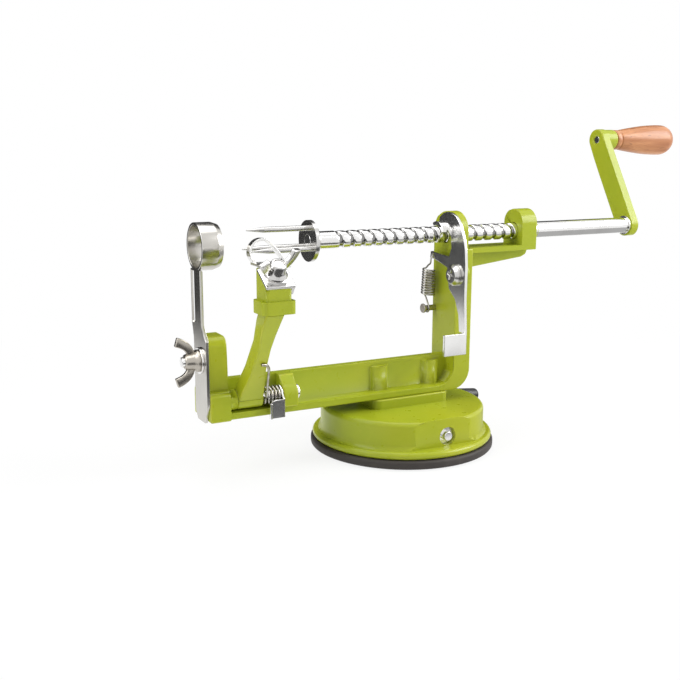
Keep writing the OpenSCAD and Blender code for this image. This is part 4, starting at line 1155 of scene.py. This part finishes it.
@dataclass
class WingNut:
    """Cast wing nut with a flanged hub and two broad, bent ears; ear points are radius and height."""

    node: str
    joint: str
    body: Body
    paint: Paint
    ears: Triple
    flange_r: float = 5.5
    hub_r: float = 4.0
    bore_r: float = 2.55
    height: float = 7.0
    ear_t: float = 2.4
    ear_root: Pair = (2.9, 3.7)
    ear_bend: Pair = (8.0, 4.0)
    ear_tip: Pair = (10.1, 11.0)
    root_w: float = 3.7
    tip_w: float = 4.7
    ear_edge: float = 0.55

    def hub_profile(self) -> Profile:
        """Closed half section of the hub, from its bore round the outside and back.

        Returns:
            Pairs of height over the seat and radius.
        """
        f, h, top, bore = self.flange_r, self.hub_r, self.height, (0.0, self.bore_r)
        outside = [(0.0, f - 0.3), (0.3, f), (0.9, f), (1.25, f - 0.2), (2.3, h + 0.4), (2.9, h + 0.1),
                   (3.6, h), (top - 0.8, h - 0.25), (top - 0.25, h - 0.5), (top, h - 0.9)]
        return [bore, *outside, (top, self.bore_r), bore]

    def ear(self, seat: Vector, axis: Vector, out: Vector) -> BMesh:
        """Bend one ear from the hub up and out.

        Args:
            seat: Middle of the nut's seat, in metres.
            axis: Way that the nut points.
            out: Way that the ear points.

        Returns:
            The closed ear.
        """
        root, bend, tip = (Vector(point) for point in (self.ear_root, self.ear_bend, self.ear_tip))
        left, right = [], []
        for t in (k / 8 for k in range(9)):
            point = (1 - t) ** 2 * root + 2 * t * (1 - t) * bend + t * t * tip
            slope = ((1 - t) * (bend - root) + t * (tip - bend)).normalized()
            aside = Vector((-slope.y, slope.x)) * (self.root_w + t * (self.tip_w - self.root_w)) / 2
            left.append(point + aside)
            right.append(point - aside)
        thick = axis.cross(out) * self.ear_t
        outline = [seat + (out * p.x + axis * p.y - thick / 2) * MM for p in [*left, *right[::-1]]]
        shape = bmesh.new()
        face = shape.faces.new([shape.verts.new(point) for point in outline])
        grown = bmesh.ops.extrude_face_region(shape, geom=[face])["geom"]
        raised = [v for v in grown if isinstance(v, BMVert)]
        bmesh.ops.translate(shape, vec=thick * MM, verts=raised)
        bmesh.ops.recalc_face_normals(shape, faces=shape.faces[:])
        bmesh.ops.bevel(
            shape, geom=[e for e in shape.edges if e.calc_face_angle(0.0) > math.radians(40)],
            offset=self.ear_edge * MM, offset_type="OFFSET", affect="EDGES", segments=3, profile=0.5,
            material=-1, clamp_overlap=True)
        return shape

    def build(self, fitter: Fitter) -> None:
        """Turn the hub, bend the ears and set the nut on its seat.

        Args:
            fitter: Sets the piece on its body.
        """
        joint, wings = fitter.joints[self.joint], Vector(self.ears)
        middle, axis = Vector(joint["pos_m"]), Vector(joint["axis"]).normalized()
        seat = middle + axis * min((v.co - middle).dot(axis) for v in fitter.nodes[self.node].data.vertices)
        hub = Workshop.spun(self.hub_profile(), seat, axis.to_track_quat("X", "Z").to_matrix(), 56)
        out = (wings - axis * wings.dot(axis)).normalized()
        nut = Workshop.join([hub, *(self.ear(seat, axis, way * out) for way in (1, -1))])
        fitter.fit(nut, f"{self.node}_cast", self.body, self.paint, self.node, 34.0)


@dataclass
class Slicer(SubAssembly):
    """Slotted plate with coring ring, on its stud, washer and wing nut."""

    rounded: tuple[Rounding, ...] = (
        Rounding("slicer_blade", Body.SLICER, Paint.SLICER, 0.2),
        Rounding("slicer_washer", Body.FRAME, Paint.SCREW, 0.2),
        Rounding("slicer_stud", Body.FRAME, Paint.SCREW, 0.5),
    )
    nut_ears: Triple = (0.0, 0.0, 1.0)

    def build(self, fitter: Fitter) -> None:
        """Make the wing nut."""
        WingNut("slicer_nut", "post_nut_turn", Body.POST_NUT, Paint.AGED, self.nut_ears).build(fitter)


@dataclass
class PeelingArm(SubAssembly):
    """Cast arm with its clip, hoop blade, wing nut, coil spring and catch."""

    rounded: tuple[Rounding, ...] = (
        Rounding("peeling_arm", Body.ARM, Paint.LIME, 0.9, 3),
        Rounding("blade_clip", Body.ARM, Paint.CLIP, 0.3),
        Rounding("peeler_blade", Body.ARM, Paint.PLATE, 0.2),
        Rounding("blade_stud", Body.ARM, Paint.SCREW, 0.5),
        Rounding("arm_catch", Body.CATCH, Paint.PLATE, 0.25),
    )
    hinge: Pair = (-7.6, 38.0)
    bar_z: float = 28.5
    lean: float = math.atan2(33.4, 48.0)
    half_t: float = 4.0
    edge_x: float = -91.4
    wire: float = 1.4
    sweep: float = 0.6
    coil_r: float = 4.2
    turns: int = 4
    step: float = 1.92
    seat: float = 0.2
    coil_x: float = -78.3
    nut_ears: Triple = (math.cos(math.radians(20)), math.sin(math.radians(20)), 0.23)

    def spring_line(self) -> list[Vector]:
        """Middle line of the spring: short leg on the bar, coils round the pin, long leg hooked over the arm.

        Returns:
            Points along the wire.
        """
        y, z = self.hinge
        x0, r, edge = self.coil_x, self.coil_r, self.edge_x
        end = x0 - self.step * (self.turns + self.lean / math.tau)
        up = Vector((0, -math.sin(self.lean), math.cos(self.lean)))
        out = Vector((0, -math.cos(self.lean), -math.sin(self.lean)))
        face = self.half_t + self.wire / 2 + self.seat
        short = [Vector((x0, y - r, self.bar_z + 0.6)), Vector((x0, y - r, z - 4))]
        coils = [Vector((x0 - self.step * done, y - r * math.cos(a), z + r * math.sin(a)))
                 for done, a in Workshop.winding(self.turns)]
        legs = [(end, (r + face) / 2, 5), (end * 0.6 + edge * 0.4, face, 15),
                (end * 0.2 + edge * 0.8 + 0.6, face, 24), (edge + 0.6, face, 27),
                (edge - 1, face, 28.6), (edge - 3.4, face, 29)]
        return [*short, *coils, *(Vector((x, y, z)) + out * away + up * along for x, away, along in legs)]

    def build(self, fitter: Fitter) -> None:
        """Wind the spring between frame and arm, and make the wing nut.

        Args:
            fitter: Sets the pieces on the bodies.
        """
        wire = Workshop.bent(self.spring_line(), self.wire, self.sweep)
        spring = fitter.fit(wire, "hinge_spring", None, Paint.WIRE, "arm_spring", 60.0)
        y, z = (place * MM for place in self.hinge)
        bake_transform(spring, Body.FRAME.value, Body.ARM.value, start=((self.coil_x - 0.4) * MM, y, z),
                 end=((self.coil_x - self.step * self.turns) * MM, y, z))
        WingNut("blade_nut", "arm_nut_turn", Body.ARM_NUT, Paint.CAST, self.nut_ears).build(fitter)


@dataclass(frozen=True)
class Lamp:
    """Soft square lamp that looks at the object."""

    name: str
    place: Triple
    size: float
    watts: float


@dataclass(frozen=True)
class Card:
    """Grey card that only mirrors see."""

    name: str
    place: Triple
    size: Pair
    tone: float
    facing: Triple = (0.0, 0.0, 1.0)


@dataclass
class Studio:
    """Pale floor, soft lamps, dark cards for the metal, and the camera; all in metres."""

    eye: Triple = (-0.2648, -0.4345, 0.16356)
    azimuth: float = 27.53
    pitch: float = 11.88
    roll: float = 0.18
    focal_px: float = 956.3
    frame_px: float = 680.0
    sensor: float = 36.0
    ambient: float = 0.34
    shadow_white: float = 0.84
    aim: Triple = (0.03, 0.0, 0.08)
    lamps: tuple[Lamp, ...] = (
        Lamp("key_lamp", (0.74, -0.46, 0.55), 0.6, 7.4),
        Lamp("fill_lamp", (-1.00, 0.05, 0.75), 0.8, 5.5),
        Lamp("top_lamp", (-0.05, 0.15, 1.35), 1.3, 9.2),
    )
    cards: tuple[Card, ...] = (
        Card("back_card", (0.15, 0.95, 1.0), (3.0, 2.0), 0.05, (0.0, -1.0, 0.0)),
        Card("left_card", (-0.46, 0.53, 0.0005), (0.48, 0.84), 0.06),
        Card("middle_card", (-0.13, 0.675, 0.0005), (0.18, 0.55), 0.22),
        Card("front_card", (-0.10, -0.34, 0.0005), (0.30, 0.52), 0.10),
        Card("near_card", (0.23, -0.05, 0.0005), (0.36, 0.30), 0.45),
    )

    def camera(self) -> None:
        """Set the camera at the photograph's angle."""
        lens = bpy.data.cameras.new("camera")
        lens.sensor_width = self.sensor
        lens.lens = self.focal_px / self.frame_px * self.sensor
        lens.clip_start, lens.clip_end = 0.01, 20.0
        eye = bpy.data.objects.new("camera", lens)
        turn = Euler((math.radians(90 - self.pitch), 0, math.radians(-self.azimuth))).to_matrix()
        turn = turn @ Matrix.Rotation(math.radians(self.roll), 3, "Z")
        eye.matrix_world = Matrix.Translation(self.eye) @ turn.to_4x4()
        bpy.context.scene.collection.objects.link(eye)
        bpy.context.scene.camera = eye

    @staticmethod
    def seen(bench: NodeBench) -> Signal:
        """1 for rays of the camera, and for mirrored or refracted ones, else 0."""
        camera, glossy, clear = (bench.add("ShaderNodeLightPath", take=f"Is {kind} Ray")
                                 for kind in ("Camera", "Glossy", "Transmission"))
        return (camera + glossy + clear).ramp(0.0, 1.0)

    def floor(self) -> None:
        """Lay the pale floor, white to the camera except where the shadow falls."""
        shape = bmesh.new()
        bmesh.ops.create_grid(shape, x_segments=8, y_segments=8, size=3.0)
        bmesh.ops.translate(shape, vec=(0, 0, -0.2 * MM), verts=shape.verts[:])
        bench = NodeBench.named("pale_floor")
        away = bench.add("ShaderNodeVectorMath", {"operation": "LENGTH"}, {0: bench.place}, take="Value")
        tone = bench.mix(bench.noise(3.0, 2.0).ramp(0.2, 0.8), (0.90, 0.90, 0.90), (0.92, 0.92, 0.92))
        matt = bench.add("ShaderNodeBsdfDiffuse", None, {"Color": tone})
        white = bench.add("ShaderNodeEmission", None, {"Color": (1.0, 1.0, 1.0), "Strength": 1.0})
        share = self.seen(bench) * (away.ramp(0.10, 0.40) * (1.0 - self.shadow_white) + self.shadow_white)
        both = bench.add("ShaderNodeMixShader", None, {0: share, 1: matt, 2: white})
        bench.add("ShaderNodeOutputMaterial", None, {"Surface": both})
        Workshop.placed(shape, "floor", bench.owner)

    def surround(self) -> None:
        """Set the world: white where it is seen, soft ambient light elsewhere."""
        world = bpy.data.worlds.new("white_room")
        bpy.context.scene.world = world
        bench = NodeBench(world)
        light = bench.add("ShaderNodeBackground", None, {
            "Color": (1.0, 1.0, 1.0), "Strength": self.seen(bench) * (1.0 - self.ambient) + self.ambient})
        bench.add("ShaderNodeOutputWorld", None, {"Surface": light})

    def hang(self, row: Lamp) -> None:
        """Hang a lamp.

        Args:
            row: The lamp.
        """
        light = bpy.data.lights.new(row.name, "AREA")
        light.shape = "RECTANGLE"
        light.size = light.size_y = row.size
        light.energy = row.watts
        lamp = bpy.data.objects.new(row.name, light)
        turn = (Vector(self.aim) - Vector(row.place)).to_track_quat("-Z", "Y").to_matrix()
        lamp.matrix_world = Matrix.Translation(row.place) @ turn.to_4x4()
        lamp.visible_camera = False
        bpy.context.scene.collection.objects.link(lamp)

    def lay(self, row: Card) -> None:
        """Set up a card.

        Args:
            row: The card.
        """
        shape = bmesh.new()
        bmesh.ops.create_grid(shape, x_segments=2, y_segments=2, size=0.5)
        turn = Vector(row.facing).to_track_quat("Z", "Y").to_matrix().to_4x4()
        place = Matrix.Translation(row.place) @ turn @ Matrix.Diagonal((*row.size, 1.0, 1.0))
        bmesh.ops.transform(shape, matrix=place, verts=shape.verts[:])
        bench = NodeBench.named(f"{row.name}_cloth")
        grey = bench.add("ShaderNodeEmission", None, {"Color": (row.tone,) * 3, "Strength": 1.0})
        bench.add("ShaderNodeOutputMaterial", None, {"Surface": grey})
        card = Workshop.placed(shape, row.name, bench.owner)
        card.visible_camera = card.visible_diffuse = card.visible_shadow = card.visible_transmission = False

    def build(self) -> None:
        """Set up camera, floor, surround, lamps and cards."""
        bpy.context.scene.view_settings.view_transform = "Standard"
        self.camera()
        self.floor()
        self.surround()
        for lamp in self.lamps:
            self.hang(lamp)
        for card in self.cards:
            self.lay(card)


def main() -> None:
    """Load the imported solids, build and dress each sub-assembly, set the studio and report."""
    logging.basicConfig(level=logging.INFO, format="%(name)s: %(message)s")
    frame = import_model()
    Studio().build()
    joints = {joint["name"]: joint for joint in frame["record"]["behaviour"]["joints"]}
    fitter = Fitter(frame["nodes"], joints, {paint: paint.value.make() for paint in Paint})
    for part in (SuctionBase(), CastFrame(), FeedScrew(), ReleaseLever(), Slicer(), PeelingArm()):
        part.build(fitter)
        part.dress(fitter)
    for name in fitter.made:
        LOG.info("piece %s", name)


if __name__ == "__main__":
    main()
